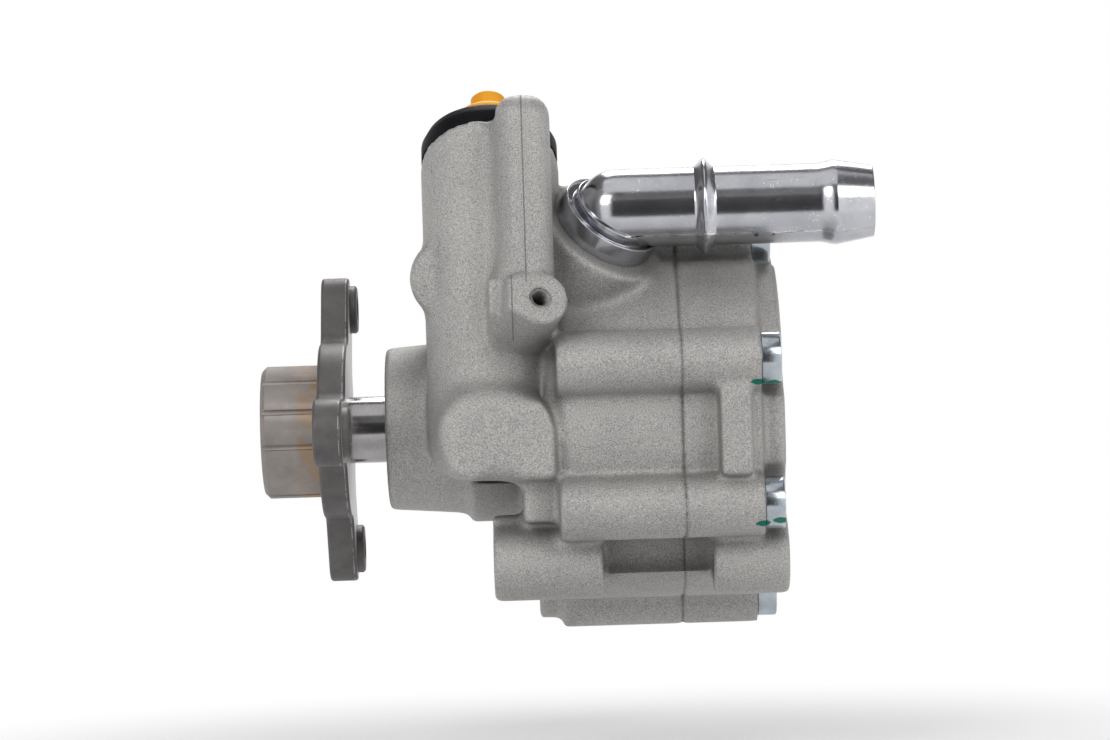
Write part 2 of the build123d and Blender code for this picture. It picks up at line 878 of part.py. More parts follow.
def rear_cover():
    """Cover casting: spigot, ridged rim, scalloped tail and lower lugs."""
    casting = spun(along_x, [
        (0, spigot_face),
        (cavity_radius - TOUCH_GAP, spigot_face),
        (cavity_radius - TOUCH_GAP, seam),
        (body_radius, seam),
        (body_radius, bolt_seat),
        (tail_radius, bolt_seat),
        (tail_radius, tail_face),
        (0, tail_face),
    ])
    casting = fillet(casting.edges().filter_by(GeomType.CIRCLE).sort_by(Axis.X)[-1], tail_edge_radius)
    casting += ridges(seam, bolt_seat)
    pad_middle = seam + web_pad_start + web_pad_length / 2
    pad = Box(web_pad_length, web_pad_proud + ridge_radius, web_pad_height)
    pad = fillet(pad.faces().sort_by(Axis.Y)[0].edges(), plate_edge_radius)
    casting += Pos(
        pad_middle, -body_radius - web_pad_proud / 2 + ridge_radius / 2, web_pad_center_z
    ) * pad
    for y, z in lug_places:
        casting += lug_bar(rear_lug_face, rear_lug_back, y, z)
    recess = tube(
        along_x, tail_recess_radius, tail_boss_radius, tail_face - tail_recess_depth, tail_face + OVERSHOOT
    )
    for i in range(tail_rib_count):
        recess -= along_x * Rot(0, 0, (i + 0.5) * 360 / tail_rib_count) * Pos(
            tail_recess_radius / 2, 0, tail_face
        ) * Box(tail_recess_radius, tail_rib_width, 4 * tail_recess_depth)
    casting -= recess
    for y, z in bolt_places:
        casting -= bar(along_x, scallop_radius, bolt_seat, tail_face + OVERSHOOT, y, z)
        casting -= bar(along_x, bolt_hole_radius, seam - OVERSHOOT, bolt_seat + OVERSHOOT, y, z)
    casting -= lug_cuts()
    groove_middle = seam - spigot_length / 2
    casting -= tube(
        along_x, cavity_radius + OVERSHOOT, cavity_radius - 2 * o_ring_section + o_ring_squeeze,
        groove_middle - o_ring_groove_width / 2, groove_middle + o_ring_groove_width / 2,
    )
    casting -= bar(along_x, bush_outer_radius, spigot_face - OVERSHOOT, bush_back)
    casting -= bar(along_x, journal_radius + LOOSE_GAP, spigot_face - OVERSHOOT, bush_back + journal_room)
    ring_room = rotor_ring_radius + LOOSE_GAP
    casting -= bar(along_x, ring_room, spigot_face - OVERSHOOT, spigot_face + rotor_ring_pocket)
    face = along_x * Pos(0, 0, spigot_face)
    casting -= face * kidneys(kidney_radius, kidney_width, kidney_sweep, kidney_depth, kidney_angles)
    casting -= face * kidneys(
        root_port_radius, root_port_width, root_port_sweep, root_port_depth, root_port_angles
    )
    for y, z in dowel_places():
        casting -= bar(along_x, dowel_radius, spigot_face - OVERSHOOT, spigot_face + dowel_bury, y, z)
    return casting


def cover_bolts():
    """Hexagon bolts of the rear cover."""
    bolts = []
    for y, z in bolt_places:
        head_top = bolt_seat + bolt_head_height
        head = hexagon_bar(Plane.XY, bolt_head_flats, 0, bolt_head_height)
        corner_radius = bolt_head_flats / sqrt(3)
        crown = spun(Plane.XY, [
            (0, 0),
            (corner_radius + OVERSHOOT, 0),
            (corner_radius + OVERSHOOT, bolt_head_height - bolt_head_chamfer - OVERSHOOT / 2),
            (bolt_head_flats / 2 - bolt_head_chamfer / 2, bolt_head_height),
            (0, bolt_head_height),
        ])
        shank = Pos(0, 0, -bolt_length / 2) * Cylinder(bolt_radius, bolt_length)
        shank = chamfer(shank.edges().filter_by(GeomType.CIRCLE).sort_by(Axis.Z)[0], bolt_head_chamfer)
        place = along_x * Pos(y, z, head_top - bolt_head_height)
        bolts.append(place * (head & crown) + place * shank)
    return together(bolts)


def rear_bush():
    return tube(along_x, bush_outer_radius, journal_radius + SLIDE_GAP, bush_face, bush_back)


# Cartridge

def dowel_places():
    return [(0, dowel_circle_radius), (0, -dowel_circle_radius)]


def dowel_pins():
    """Two pins that line up the plate, the cam ring and the cover."""
    start = cam_ring_face - dowel_bury
    end = spigot_face + dowel_bury - TOUCH_GAP
    return together([bar(along_x, dowel_radius, start, end, y, z) for y, z in dowel_places()])


def cam_ring():
    """Ring with a two-lobed bore that the vanes follow."""
    ring = bar(along_x, cam_ring_radius, cam_ring_face, spigot_face)
    bore = extrude(Ellipse(cam_major_radius, cam_minor_radius), cam_ring_width + 2 * OVERSHOOT)
    ring -= along_x * Pos(0, 0, cam_ring_face - OVERSHOOT) * bore
    for y, z in dowel_places():
        ring -= bar(along_x, dowel_radius, cam_ring_face - OVERSHOOT, spigot_face + OVERSHOOT, y, z)
    return ring


def front_plate():
    """Pressure plate with curved ports and a ring groove in its rim."""
    plate = tube(
        along_x, cavity_radius - TOUCH_GAP, shaft_radius + LOOSE_GAP / 2, front_plate_face, cam_ring_face
    )
    middle = (front_plate_face + cam_ring_face) / 2
    plate -= tube(
        along_x, cavity_radius + OVERSHOOT, cavity_radius - 2 * o_ring_section + o_ring_squeeze,
        middle - o_ring_groove_width / 2, middle + o_ring_groove_width / 2,
    )
    through = front_plate_thickness + 2 * OVERSHOOT
    face = along_x * Pos(0, 0, front_plate_face - OVERSHOOT)
    plate -= face * kidneys(kidney_radius, kidney_width, kidney_sweep, through, kidney_angles)
    for y, z in dowel_places():
        plate -= bar(along_x, dowel_radius, cam_ring_face - dowel_bury, cam_ring_face + OVERSHOOT, y, z)
    return plate


def rim_ring(middle):
    """Rubber ring that fills a rim groove against the cavity wall."""
    section = o_ring_section - o_ring_squeeze
    return along_x * Pos(0, 0, middle) * Torus(cavity_radius - section - TOUCH_GAP / 2, section)


def plate_spring():
    """Dished ring that presses the plate onto the cam ring."""
    lift = plate_spring_rise
    thick = plate_spring_thickness
    return spun(along_x, [
        (plate_spring_inner, cavity_face + lift),
        (plate_spring_outer, cavity_face),
        (plate_spring_outer, cavity_face + thick),
        (plate_spring_inner, cavity_face + lift + thick),
    ])


# Suction elbow

def bent_tube(radius, start):
    """Mitred tube from the port, round the corner and out to the hose end."""
    path = Polyline(port_plane.from_local_coords((0, 0, start)), corner, (pipe_end, corner.Y, corner.Z))
    section = port_plane * Pos(0, 0, start) * Circle(radius)
    return sweep(section, path, transition=Transition.RIGHT)


def suction_elbow():
    """Pressed elbow: collar, curled stub, mitred corner, pipe with bead, and hose barb."""
    barb_start = pipe_end - barb_length
    rim = collar_radius - collar_recess_width
    elbow = bent_tube(pipe_radius, 0)
    elbow += spun(port_plane, [
        (0, 0),
        (collar_radius - collar_edge, 0),
        (collar_radius, collar_edge),
        (collar_radius, collar_height - collar_edge),
        (collar_radius - collar_edge, collar_height),
        (rim, collar_height),
        (rim, collar_height - collar_recess),
        (curl_radius, collar_height - collar_recess),
        (curl_radius, collar_height + curl_height - collar_edge),
        (curl_radius - collar_edge, collar_height + curl_height),
        (pipe_radius - pipe_wall, collar_height + curl_height),
        (0, collar_height),
    ])
    elbow += spun(pipe_axis, [
        (pipe_radius - pipe_wall / 2, bead_x - bead_width / 2),
        (bead_radius, bead_x - bead_crest_width / 2),
        (bead_radius, bead_x + bead_crest_width / 2),
        (pipe_radius - pipe_wall / 2, bead_x + bead_width / 2),
    ])
    elbow += spun(pipe_axis, [
        (pipe_radius - pipe_wall / 2, barb_start),
        (barb_radius, barb_start + barb_land / 2),
        (barb_radius, barb_start + 3 * barb_land / 2),
        (barb_tip_radius, pipe_end),
        (pipe_radius - pipe_wall, pipe_end),
    ])
    tip_cut = spun(pipe_axis, [
        (pipe_radius + OVERSHOOT, barb_start + 3 * barb_land),
        (pipe_radius + OVERSHOOT, pipe_end + OVERSHOOT),
        (barb_tip_radius, pipe_end + OVERSHOOT),
        (barb_tip_radius, pipe_end),
        (barb_radius, barb_start + 3 * barb_land / 2),
    ])
    elbow -= tip_cut
    elbow += bar(port_plane, port_bore_radius - TOUCH_GAP, -port_spigot_length, TOUCH_GAP)
    elbow -= bent_tube(pipe_radius - pipe_wall, spigot_wall)
    elbow -= bar(pipe_axis, barb_tip_radius - pipe_wall, barb_start, pipe_end + OVERSHOOT)
    spigot_bore = port_bore_radius - TOUCH_GAP - spigot_wall
    elbow -= bar(port_plane, spigot_bore, -port_spigot_length - OVERSHOOT, 2 * spigot_wall)
    groove_middle = -port_spigot_length / 2
    elbow -= tube(
        port_plane, port_bore_radius + OVERSHOOT, port_bore_radius - spigot_wall / 2,
        groove_middle - spigot_wall, groove_middle + spigot_wall,
    )
    return elbow


def suction_o_ring():
    """Rubber ring on the elbow spigot."""
    section = spigot_wall / 4
    return port_plane * Pos(0, 0, -port_spigot_length / 2) * Torus(port_bore_radius - section, section)


# Outlet union and transport plug

def outlet_union():
    """Turned union on the slanted face of the tower."""
    return spun(union_plane, [
        (union_bore_radius, -union_thread_length),
        (union_thread_radius, -union_thread_length),
        (union_thread_radius, 0),
        (union_rim_radius, 0),
        (union_rim_radius, union_rim_height),
        (union_top_radius, union_height),
        (union_bore_radius, union_height),
    ])


def transport_plug():
    """Push-in plug that keeps dirt out of the outlet."""
    body_base = union_height + TOUCH_GAP
    flange_base = body_base + plug_body_height
    flange_top = flange_base + plug_flange_height
    knob_top = flange_top + plug_knob_height
    return spun(union_plane, [
        (0, union_height - plug_shank_length),
        (plug_shank_radius - plug_knob_chamfer, union_height - plug_shank_length),
        (plug_shank_radius, union_height - plug_shank_length + plug_knob_chamfer),
        (plug_shank_radius, body_base),
        (plug_body_radius, body_base),
        (plug_body_radius, flange_base),
        (plug_flange_radius, flange_base),
        (plug_flange_radius, flange_base + plug_flange_rim),
        (plug_flange_top_radius, flange_top),
        (plug_knob_radius, flange_top),
        (plug_knob_radius, knob_top - plug_knob_chamfer),
        (plug_knob_radius - plug_knob_chamfer, knob_top),
        (0, knob_top),
    ])


# Flow valve

plug_base = tower_bottom + valve_plug_recess
plug_head = plug_base + valve_plug_length
spool_top = valve_bore_top - TOUCH_GAP
spool_base = spool_top - valve_nose_length - valve_spool_length
spring_seat = spool_base + valve_pocket_depth
relief_seat = spring_seat + relief_bore_depth
relief_ball_z = relief_seat - relief_ball_radius - RUN_GAP
relief_screw_base = spring_seat + valve_floor
relief_screw_top = relief_screw_base + relief_screw_length


def valve_plug():
    """Screw plug with a hexagon socket that closes the valve bore from below."""
    plug = bar(upright, valve_plug_radius, plug_base, plug_head)
    socket = hexagon_bar(
        upright, valve_plug_socket_flats, plug_base - OVERSHOOT, plug_base + valve_plug_socket_depth
    )
    groove_middle = plug_head - valve_plug_length / 4
    groove = tube(
        upright, valve_plug_radius + OVERSHOOT, valve_plug_radius - o_ring_section,
        groove_middle - o_ring_section / 2, groove_middle + o_ring_section / 2,
    )
    return plug - socket - groove


def valve_plug_o_ring():
    section = o_ring_section / 2 - o_ring_squeeze
    middle = plug_head - valve_plug_length / 4
    return upright * Pos(0, 0, middle) * Torus(valve_plug_radius - section - o_ring_squeeze, section)


def valve_spool():
    """Two-land spool with a spring pocket below and a relief seat inside."""
    land = valve_bore_radius - SLIDE_GAP
    body_top = spool_top - valve_nose_length
    spool = spun(upright, [
        (0, spool_base),
        (land, spool_base),
        (land, spring_seat + valve_floor),
        (valve_waist_radius, spring_seat + valve_floor),
        (valve_waist_radius, body_top - valve_land_length),
        (land, body_top - valve_land_length),
        (land, body_top),
        (valve_nose_radius, body_top),
        (valve_nose_radius, spool_top),
        (0, spool_top),
    ])
    spool -= bar(upright, valve_pocket_radius, spool_base - OVERSHOOT, spring_seat)
    spool -= bar(upright, relief_bore_radius, spool_base, relief_seat)
    spool -= bar(upright, relief_port_radius, spring_seat, spool_top + OVERSHOOT)
    return spool


def coil(plane, radius, wire, start, end, turns):
    """Compression spring with evenly spaced turns."""
    height = end - start - 2 * wire
    path = Helix(height / turns, height, radius)
    section = Plane(origin=path @ 0, z_dir=path % 0) * Circle(wire)
    return plane * Pos(0, 0, start + wire) * sweep(section, path, is_frenet=True)


def valve_spring():
    radius = valve_pocket_radius - valve_spring_wire - LOOSE_GAP / 2
    return coil(
        upright, radius, valve_spring_wire,
        plug_head + TOUCH_GAP, spring_seat - TOUCH_GAP, valve_spring_turns,
    )




def relief_ball():
    return upright * Pos(0, 0, relief_ball_z) * Sphere(relief_ball_radius)


def relief_screw():
    """Hollow screw in the spool that carries the relief spring."""
    return tube(upright, relief_bore_radius, relief_port_radius, relief_screw_base, relief_screw_top)


def relief_spring():
    radius = relief_ball_radius - relief_spring_wire
    return coil(
        upright, radius, relief_spring_wire,
        relief_screw_top + TOUCH_GAP,
        relief_ball_z - relief_ball_radius - TOUCH_GAP, relief_spring_turns,
    )


def gallery_plug():
    """Screw plug with a hexagon socket at the far end of the gallery."""
    length = gallery_thread_depth - LOOSE_GAP
    place = Plane(origin=(gallery_x, gallery_back, gallery_z), x_dir=(1, 0, 0), z_dir=(0, 1, 0))
    plug = bar(place, gallery_thread_radius, -length, 0)
    return plug - hexagon_bar(place, gallery_socket_flats, -length / 2, OVERSHOOT)


def union_o_ring():
    """Rubber ring at the foot of the union thread."""
    section = union_seal_room / 2 - o_ring_squeeze
    middle = -union_thread_length - union_seal_room / 2
    return union_plane * Pos(0, 0, middle) * Torus(union_thread_radius - 2 * section, section)


nodes = {
    "front_housing": front_housing,
    "rear_cover": rear_cover,
    "cover_bolts": cover_bolts,
    "drive_hub": drive_hub,
    "drive_shaft": drive_shaft,
    "rotor": rotor,
    "rotor_ring": rotor_ring,
    "cam_ring": cam_ring,
    "front_plate": front_plate,
    "plate_spring": plate_spring,
    "dowel_pins": dowel_pins,
    "rear_bush": rear_bush,
    "bearing_inner_race": bearing_inner_race,
    "bearing_outer_race": bearing_outer_race,
    "bearing_balls": bearing_balls,
    "bearing_cage": bearing_cage,
    "bearing_shields": bearing_shields,
    "bearing_snap_ring": bearing_snap_ring,
    "shaft_seal_case": shaft_seal_case,
    "shaft_seal_lip": shaft_seal_lip,
    "suction_elbow": suction_elbow,
    "suction_o_ring": suction_o_ring,
    "outlet_union": outlet_union,
    "union_o_ring": union_o_ring,
    "transport_plug": transport_plug,
    "valve_plug": valve_plug,
    "valve_plug_o_ring": valve_plug_o_ring,
    "valve_spool": valve_spool,
    "valve_spring": valve_spring,
    "relief_ball": relief_ball,
    "relief_screw": relief_screw,
    "relief_spring": relief_spring,
    "gallery_plug": gallery_plug,
    "plate_o_ring": lambda: rim_ring((front_plate_face + cam_ring_face) / 2),
    "cover_o_ring": lambda: rim_ring(seam - spigot_length / 2),
}
for number in range(vane_count):
    nodes[f"vane_{number + 1:02d}"] = lambda place=number: vane(place)

os.makedirs("parts", exist_ok=True)
for name, build in nodes.items():
    export_step(build(), f"parts/{name}.step")
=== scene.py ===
"""Looks of a power steering pump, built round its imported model.

Places and sizes are in millimetres in the pump's own frame, and MM turns them into metres.
"""
import json
from math import atan2, cos, pi, radians, sin, tan

import bpy
import numpy as np
from mathutils import Matrix, Vector


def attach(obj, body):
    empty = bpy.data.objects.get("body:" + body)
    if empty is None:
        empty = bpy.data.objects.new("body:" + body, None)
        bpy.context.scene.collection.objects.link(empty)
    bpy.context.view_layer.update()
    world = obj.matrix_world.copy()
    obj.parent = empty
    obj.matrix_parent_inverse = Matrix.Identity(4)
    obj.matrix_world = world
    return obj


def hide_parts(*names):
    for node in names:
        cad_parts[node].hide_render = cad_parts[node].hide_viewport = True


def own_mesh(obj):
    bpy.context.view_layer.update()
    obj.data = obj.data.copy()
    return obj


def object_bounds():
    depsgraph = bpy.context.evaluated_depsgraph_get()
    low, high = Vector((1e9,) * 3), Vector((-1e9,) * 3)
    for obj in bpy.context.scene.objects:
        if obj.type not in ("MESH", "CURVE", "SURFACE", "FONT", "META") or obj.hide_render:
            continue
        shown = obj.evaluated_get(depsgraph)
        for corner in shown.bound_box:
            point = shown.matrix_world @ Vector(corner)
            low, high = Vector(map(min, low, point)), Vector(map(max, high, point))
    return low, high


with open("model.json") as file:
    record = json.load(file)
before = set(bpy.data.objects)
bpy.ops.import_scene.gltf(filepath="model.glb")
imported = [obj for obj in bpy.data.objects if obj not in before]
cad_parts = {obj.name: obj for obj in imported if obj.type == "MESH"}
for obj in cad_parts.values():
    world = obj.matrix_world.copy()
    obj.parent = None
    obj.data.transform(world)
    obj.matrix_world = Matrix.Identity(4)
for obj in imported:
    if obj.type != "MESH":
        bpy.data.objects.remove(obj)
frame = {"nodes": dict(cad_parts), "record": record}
nodes = frame["nodes"]
cad_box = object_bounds()
scene = bpy.context.scene
MM = 0.001

# Camera of the photograph
photo_width_px = 1110
sensor_width = 36.0
pixels_per_mm = 3.9
camera_distance = 1000.0
camera_target = (60.1, 0.0, 13.8)
camera_roll = -1.8

# Floor, and how far from the pump it has turned white
floor_drop = 32.0
floor_half = 3000.0
floor_front = 330.0
white_from = 80.0
white_to = 230.0

# Main stations, places and directions of the castings
nose_face = 16.9
body_face = 60.4
seam = 91.1
bolt_seat = 110.5
cover_back = 116.7
lug_face = 43.5
lug_top = -24.2
upper_parting_x = 53.8
lower_parting_x = 50.2
tower_x = 45.3
tower_y = -24.0
union_height = 66.0
union_tilt = 31.5
lug_y = 30.0
lug_z = -33.8
bolt_circle = 46.5
bolt_angles = (80.0, 19.0, -26.0, -105.0, 145.0, 200.0)
gallery_x = 35.2
gallery_z = 37.4
pad_corner = 11.6
pad_corner_x = 41.2
pad_corner_z = -1.2
pad_reach = 4.4
crease_x = 47.2
crease_reach = 2.2
slot_x = 46.0
slot_z = -13.4
slot_reach = 4.0
lug_crisp = ((43.0, -64.0, 26.5), (66.0, -47.0, 40.0))
web_box = ((43.5, -32.0, -26.0), (50.5, -25.0, -22.0))
port_place = Vector((73.0, -24.0, 48.3))
port_axis = Vector((0.502, -0.522, 0.690)).normalized()
tapped_place = Vector((57.2, -54.0, 31.7))
tapped_axis = Vector((0.25, -0.88, 0.40)).normalized()
union_axis = Vector((0.0, sin(radians(union_tilt)), cos(radians(union_tilt))))
union_place = Vector((tower_x, tower_y, union_height))
x_axis = (1, 0, 0)
y_axis = (0, 1, 0)
z_axis = (0, 0, 1)

# Radii round the bores and seats of the castings, with a little room
nose_cut = 18.6
body_cut = 37.0
valve_cut = 8.2
valve_end_cut = 4.6
union_cut = 9.8
union_seat_cut = 16.6
port_cut = 9.4
port_seat_cut = 14.9
tapped_cut = 3.2
gallery_mouth_cut = 6.8
gallery_cut = 4.6
lug_hole_cut = 6.0
lug_sleeve_cut = 7.2
bolt_hole_cut = 4.8
bolt_seat_cut = 9.6
seam_cut = 80.0

# Smoothing of the castings: lengths in mm, shares of one step and the faces that are kept
fine_voxel = 0.75
housing_fill = 2.4
cover_fill = 1.6
blend_length = 8.0
ease_rounds = 3
ease_share = 0.6
slide_share = 0.3
crisp_share = 0.25
rim_share = 0.06
normal_every = 4
face_limit = 95000

# Eased edges of CAD pieces: node and width
eased = (("outlet_union", 0.3), ("transport_plug", 0.4), ("drive_hub", 0.15))
weld_distance = 0.002

# Cover screws
screw_shank = 4.0
screw_point = 0.7
screw_length = 32.0
screw_head = 6.5
screw_rise = 5.0
head_base = 0.3
head_crown = 0.6
screw_socket = 6.0
socket_mouth = 4.1
socket_chamfer = 0.5
socket_floor = 1.8
socket_cone = 0.6
socket_tip = 1.0
screw_sides = 96

# Threads: radius of the hole, height of the ridge, pitch and depth
lug_thread = (2.5, 0.45, 1.0, 11.5)
hub_thread = (3.4, 0.5, 1.25, 9.0)
hub_thread_circle = 36.0
hub_thread_mouth = 9.1
thread_sink = 0.03
thread_flank = 0.42
thread_steps = 28

# Drive hub
plate_back = 7.2

# Suction elbow
collar_radius = 13.2
collar_height = 5.6
collar_lip = 0.8
collar_rim = 0.5
curl_radius = 10.9
curl_top = 7.5
pipe_radius = 10.0
pipe_wall = 1.2
corner_rise = 7.25
pipe_end = 140.5
bead_x = 98.5
bead_rise = 2.15
bead_half = 2.2
bead_crown = 0.45
barb_start = 126.6
barb_crest = 131.2
barb_radius = 10.8
barb_tip = 9.1
mitre_ease = 1.8
mitre_outer_ease = 5.0
mitre_steps = 8
stub_sink = 2.0
straight_start = 9.0
ring_step = 0.25
collar_bore = 9.6
collar_gap = 0.02
collar_edge = 0.22
spigot_radius = 8.75
spigot_bore = 7.55
spigot_depth = 7.5
spigot_top = 0.6
spigot_edge = 0.2
spigot_sides = 64
weld_half = radians(44.0)
weld_step = 0.4
weld_tight = 0.006
weld_clear = 0.02
elbow_sides = 144
pipe_axis = Vector(x_axis)
tube_across = pipe_axis.cross(port_axis).normalized()
stub_side = port_axis.cross(tube_across)
pipe_side = pipe_axis.cross(tube_across)
tube_turn = port_axis.angle(pipe_axis)
weld_middle = atan2(-pipe_side.z, -tube_across.z)
weld_down = pipe_radius * cos(weld_half)
corner_height = (port_place + port_axis * corner_rise).z

# Lights: name, bearing from the camera towards +X and height in degrees, width in mm, watts
lamp_distance = 1000.0
lamps = (
    ("left_front", -33.0, 30.0, 400.0, 2.8),
    ("right_front", 33.0, 28.0, 400.0, 2.0),
    ("above", -15.0, 74.0, 900.0, 1.6),
    ("far", 175.0, 50.0, 500.0, 5.0),
    ("low_right", 60.0, 14.0, 420.0, 0.7),
)
room_level = 0.18

# Paint streaks on two cover screws: places of their middles
paint_green = (0.001, 0.17, 0.12)
paint_places = ((109.6, -50.2, 9.4), (113.4, -50.0, 9.0), (109.8, -48.2, -25.2), (114.2, -48.0, -24.6))

# Dark marks on the suction tube: place and size
tube_marks = (((111.0, -34.0, 45.3), 0.9), ((115.2, -34.0, 45.2), 0.8), ((81.0, -35.7, 60.6), 0.5))


# Material tools

class Socket:
    """A node output whose arithmetic adds Math nodes to its graph."""

    def __init__(self, graph, output):
        self.graph = graph
        self.output = output

    def math(self, operation, *values):
        """A Math node on the given values."""
        return self.graph.add("ShaderNodeMath", {"operation": operation}, dict(enumerate(values)))

    def __add__(self, other):
        return self.math("ADD", self, other)

    def __radd__(self, other):
        return self.math("ADD", other, self)

    def __sub__(self, other):
        return self.math("SUBTRACT", self, other)

    def __rsub__(self, other):
        return self.math("SUBTRACT", other, self)

    def __mul__(self, other):
        return self.math("MULTIPLY", self, other)

    def __rmul__(self, other):
        return self.math("MULTIPLY", other, self)

    def __abs__(self):
        return self.math("ABSOLUTE", self)

    def above(self, low, high):
        """0 below low, 1 above high, with a soft step between."""
        return self.graph.add(
            "ShaderNodeMapRange", {"interpolation_type": "SMOOTHSTEP"},
            {"Value": self, "From Min": low, "From Max": high},
        )

    def most(self, other):
        """The larger of the two."""
        return self.math("MAXIMUM", self, other)

    def least(self, other):
        """The smaller of the two."""
        return self.math("MINIMUM", self, other)

    def root(self):
        """Square root."""
        return self.math("SQRT", self)

    def sine(self):
        """Sine of an angle in radians."""
        return self.math("SINE", self)

    def near(self, place, half, soft):
        """1 within half of place, fading over soft."""
        return 1 - abs(self - place).above(half, half + soft)


class Graph:
    """The nodes of one material, or of the room."""

    def __init__(self, tree):
        self.tree = tree

    def add(self, kind, settings=None, inputs=None, output=0):
        """A node with its settings made first and its sockets fed after."""
        node = self.tree.nodes.new(kind)
        for key, value in (settings or {}).items():
            setattr(node, key, value)
        for key, value in (inputs or {}).items():
            self.feed(node.inputs[key], value)
        return None if output is None else Socket(self, node.outputs[output])

    def feed(self, target, value):
        """Links a socket to a node's input, or sets the input's own value."""
        if isinstance(value, Socket):
            self.tree.links.new(value.output, target)
        else:
            target.default_value = value

    def split(self, vector, scale=1.0):
        """The three numbers of a vector."""
        node = self.add("ShaderNodeSeparateXYZ", None, {0: vector}).output.node
        return [Socket(self, node.outputs[i]) * scale for i in range(3)]

    def rays(self):
        """Whether a ray comes from the camera, from a gloss, or through glass."""
        return [
            self.add("ShaderNodeLightPath", output=name)
            for name in ("Is Camera Ray", "Is Glossy Ray", "Is Transmission Ray")
        ]


class Finish(Graph):
    """One procedural material."""

    def __init__(self, name, color=None, roughness=0.5, metallic=0.0, **fixed):
        self.name = name
        self.material = bpy.data.materials.new(name)
        self.material.use_nodes = True
        super().__init__(self.material.node_tree)
        self.shader = self.tree.nodes["Principled BSDF"]
        self.set(Roughness=roughness, Metallic=metallic)
        self.set(**{key.replace("_", " "): value for key, value in fixed.items()})
        if color is not None:
            self.set(**{"Base Color": (*color, 1.0)})
        self.place = self.add("ShaderNodeTexCoord", output="Object")
        self.x, self.y, self.z = self.split(self.place, 1 / MM)

    def set(self, **sockets):
        """Values or links of the surface shader."""
        for key, value in sockets.items():
            self.feed(self.shader.inputs[key], value)

    def vector(self, operation, inputs, output=0):
        """A Vector Math node."""
        return self.add("ShaderNodeVectorMath", {"operation": operation}, inputs, output)

    def noise(self, size, detail, rough=0.5, stretch=None):
        """Noise whose features are about size millimetres, drawn out along an axis by stretch."""
        vector = self.place
        if stretch is not None:
            vector = self.vector("MULTIPLY", {0: vector, 1: stretch})
        return self.add("ShaderNodeTexNoise", None, {
            "Vector": vector, "Scale": 1 / (size * MM), "Detail": detail, "Roughness": rough,
        })

    def cells(self, size):
        """Distance to scattered points about size millimetres apart."""
        return self.add("ShaderNodeTexVoronoi", None, {"Vector": self.place, "Scale": 1 / (size * MM)})

    def mix(self, share, low, high):
        """Colour between two colours, each a link or three numbers."""
        low, high = (c if isinstance(c, Socket) else (*c, 1.0) for c in (low, high))
        return self.add("ShaderNodeMix", {"data_type": "RGBA"}, {0: share, 6: low, 7: high}, output=2)

    def along(self, place, axis):
        """Distance from place along axis, and the distance from that axis, both in millimetres."""
        offset = self.vector("SUBTRACT", {0: self.place, 1: Vector(place) * MM})
        t = self.vector("DOT_PRODUCT", {0: offset, 1: axis}, output="Value")
        foot = self.vector("SCALE", {0: axis, "Scale": t})
        side = self.vector("DISTANCE", {0: offset, 1: foot}, output="Value")
        return t * (1 / MM), side * (1 / MM)

    def spot(self, place, size, ragged):
        """Mask of a blotch round a point, with a ragged rim."""
        away = self.vector("DISTANCE", {0: self.place, 1: Vector(place) * MM}, output="Value") * (1 / MM)
        return 1 - (away + (self.noise(1.2, 3) - 0.5) * (2 * ragged * size)).above(size * 0.8, size)

    def bump(self, height, depth, strength):
        """Relief of depth millimetres from a height between 0 and 1."""
        self.set(Normal=self.add(
            "ShaderNodeBump", None, {"Height": height, "Distance": depth * MM, "Strength": strength}
        ))

    def cover(self, *pieces):
        """Puts this material on each piece, in place of what it has."""
        for piece in pieces:
            piece.data.materials.clear()
            piece.data.materials.append(self.material)


def normal_along(finish, axis):
    """How far the surface faces along an axis of the frame."""
    facing = finish.add("ShaderNodeTexCoord", output="Normal")
    return finish.vector("DOT_PRODUCT", {0: facing, 1: axis}, output="Value")


# Finishes

def paint_marks(finish):
    """Streaks of green paint that run from the cover onto two screw heads."""
    marks = finish.x * 0
    ragged = (finish.noise(1.0, 3, 0.6) - 0.5) * 1.5
    for x, y, z in paint_places:
        across = finish.x - x
        down = (finish.z - z) * 2.6
        away = (across * across + down * down).root()
        near_side = 1 - finish.y.above(y + 4, y + 5)
        marks = marks.most((1 - (away + ragged).above(1.7, 2.1)) * near_side)
    return marks


def parting_lines(finish):
    """Mask of the two fine lines that the halves of the mould leave on the near side of the tower."""
    upper = finish.x.near(upper_parting_x, 0.06, 0.14) * (1 - finish.y.above(-40, -38))
    upper = upper * finish.z.above(35, 35.5)
    lower = finish.x.near(lower_parting_x, 0.06, 0.14) * (1 - finish.y.above(-46, -45))
    lower = lower * finish.z.above(12, 12.5) * (1 - finish.z.above(37, 37.5))
    return upper.most(lower)


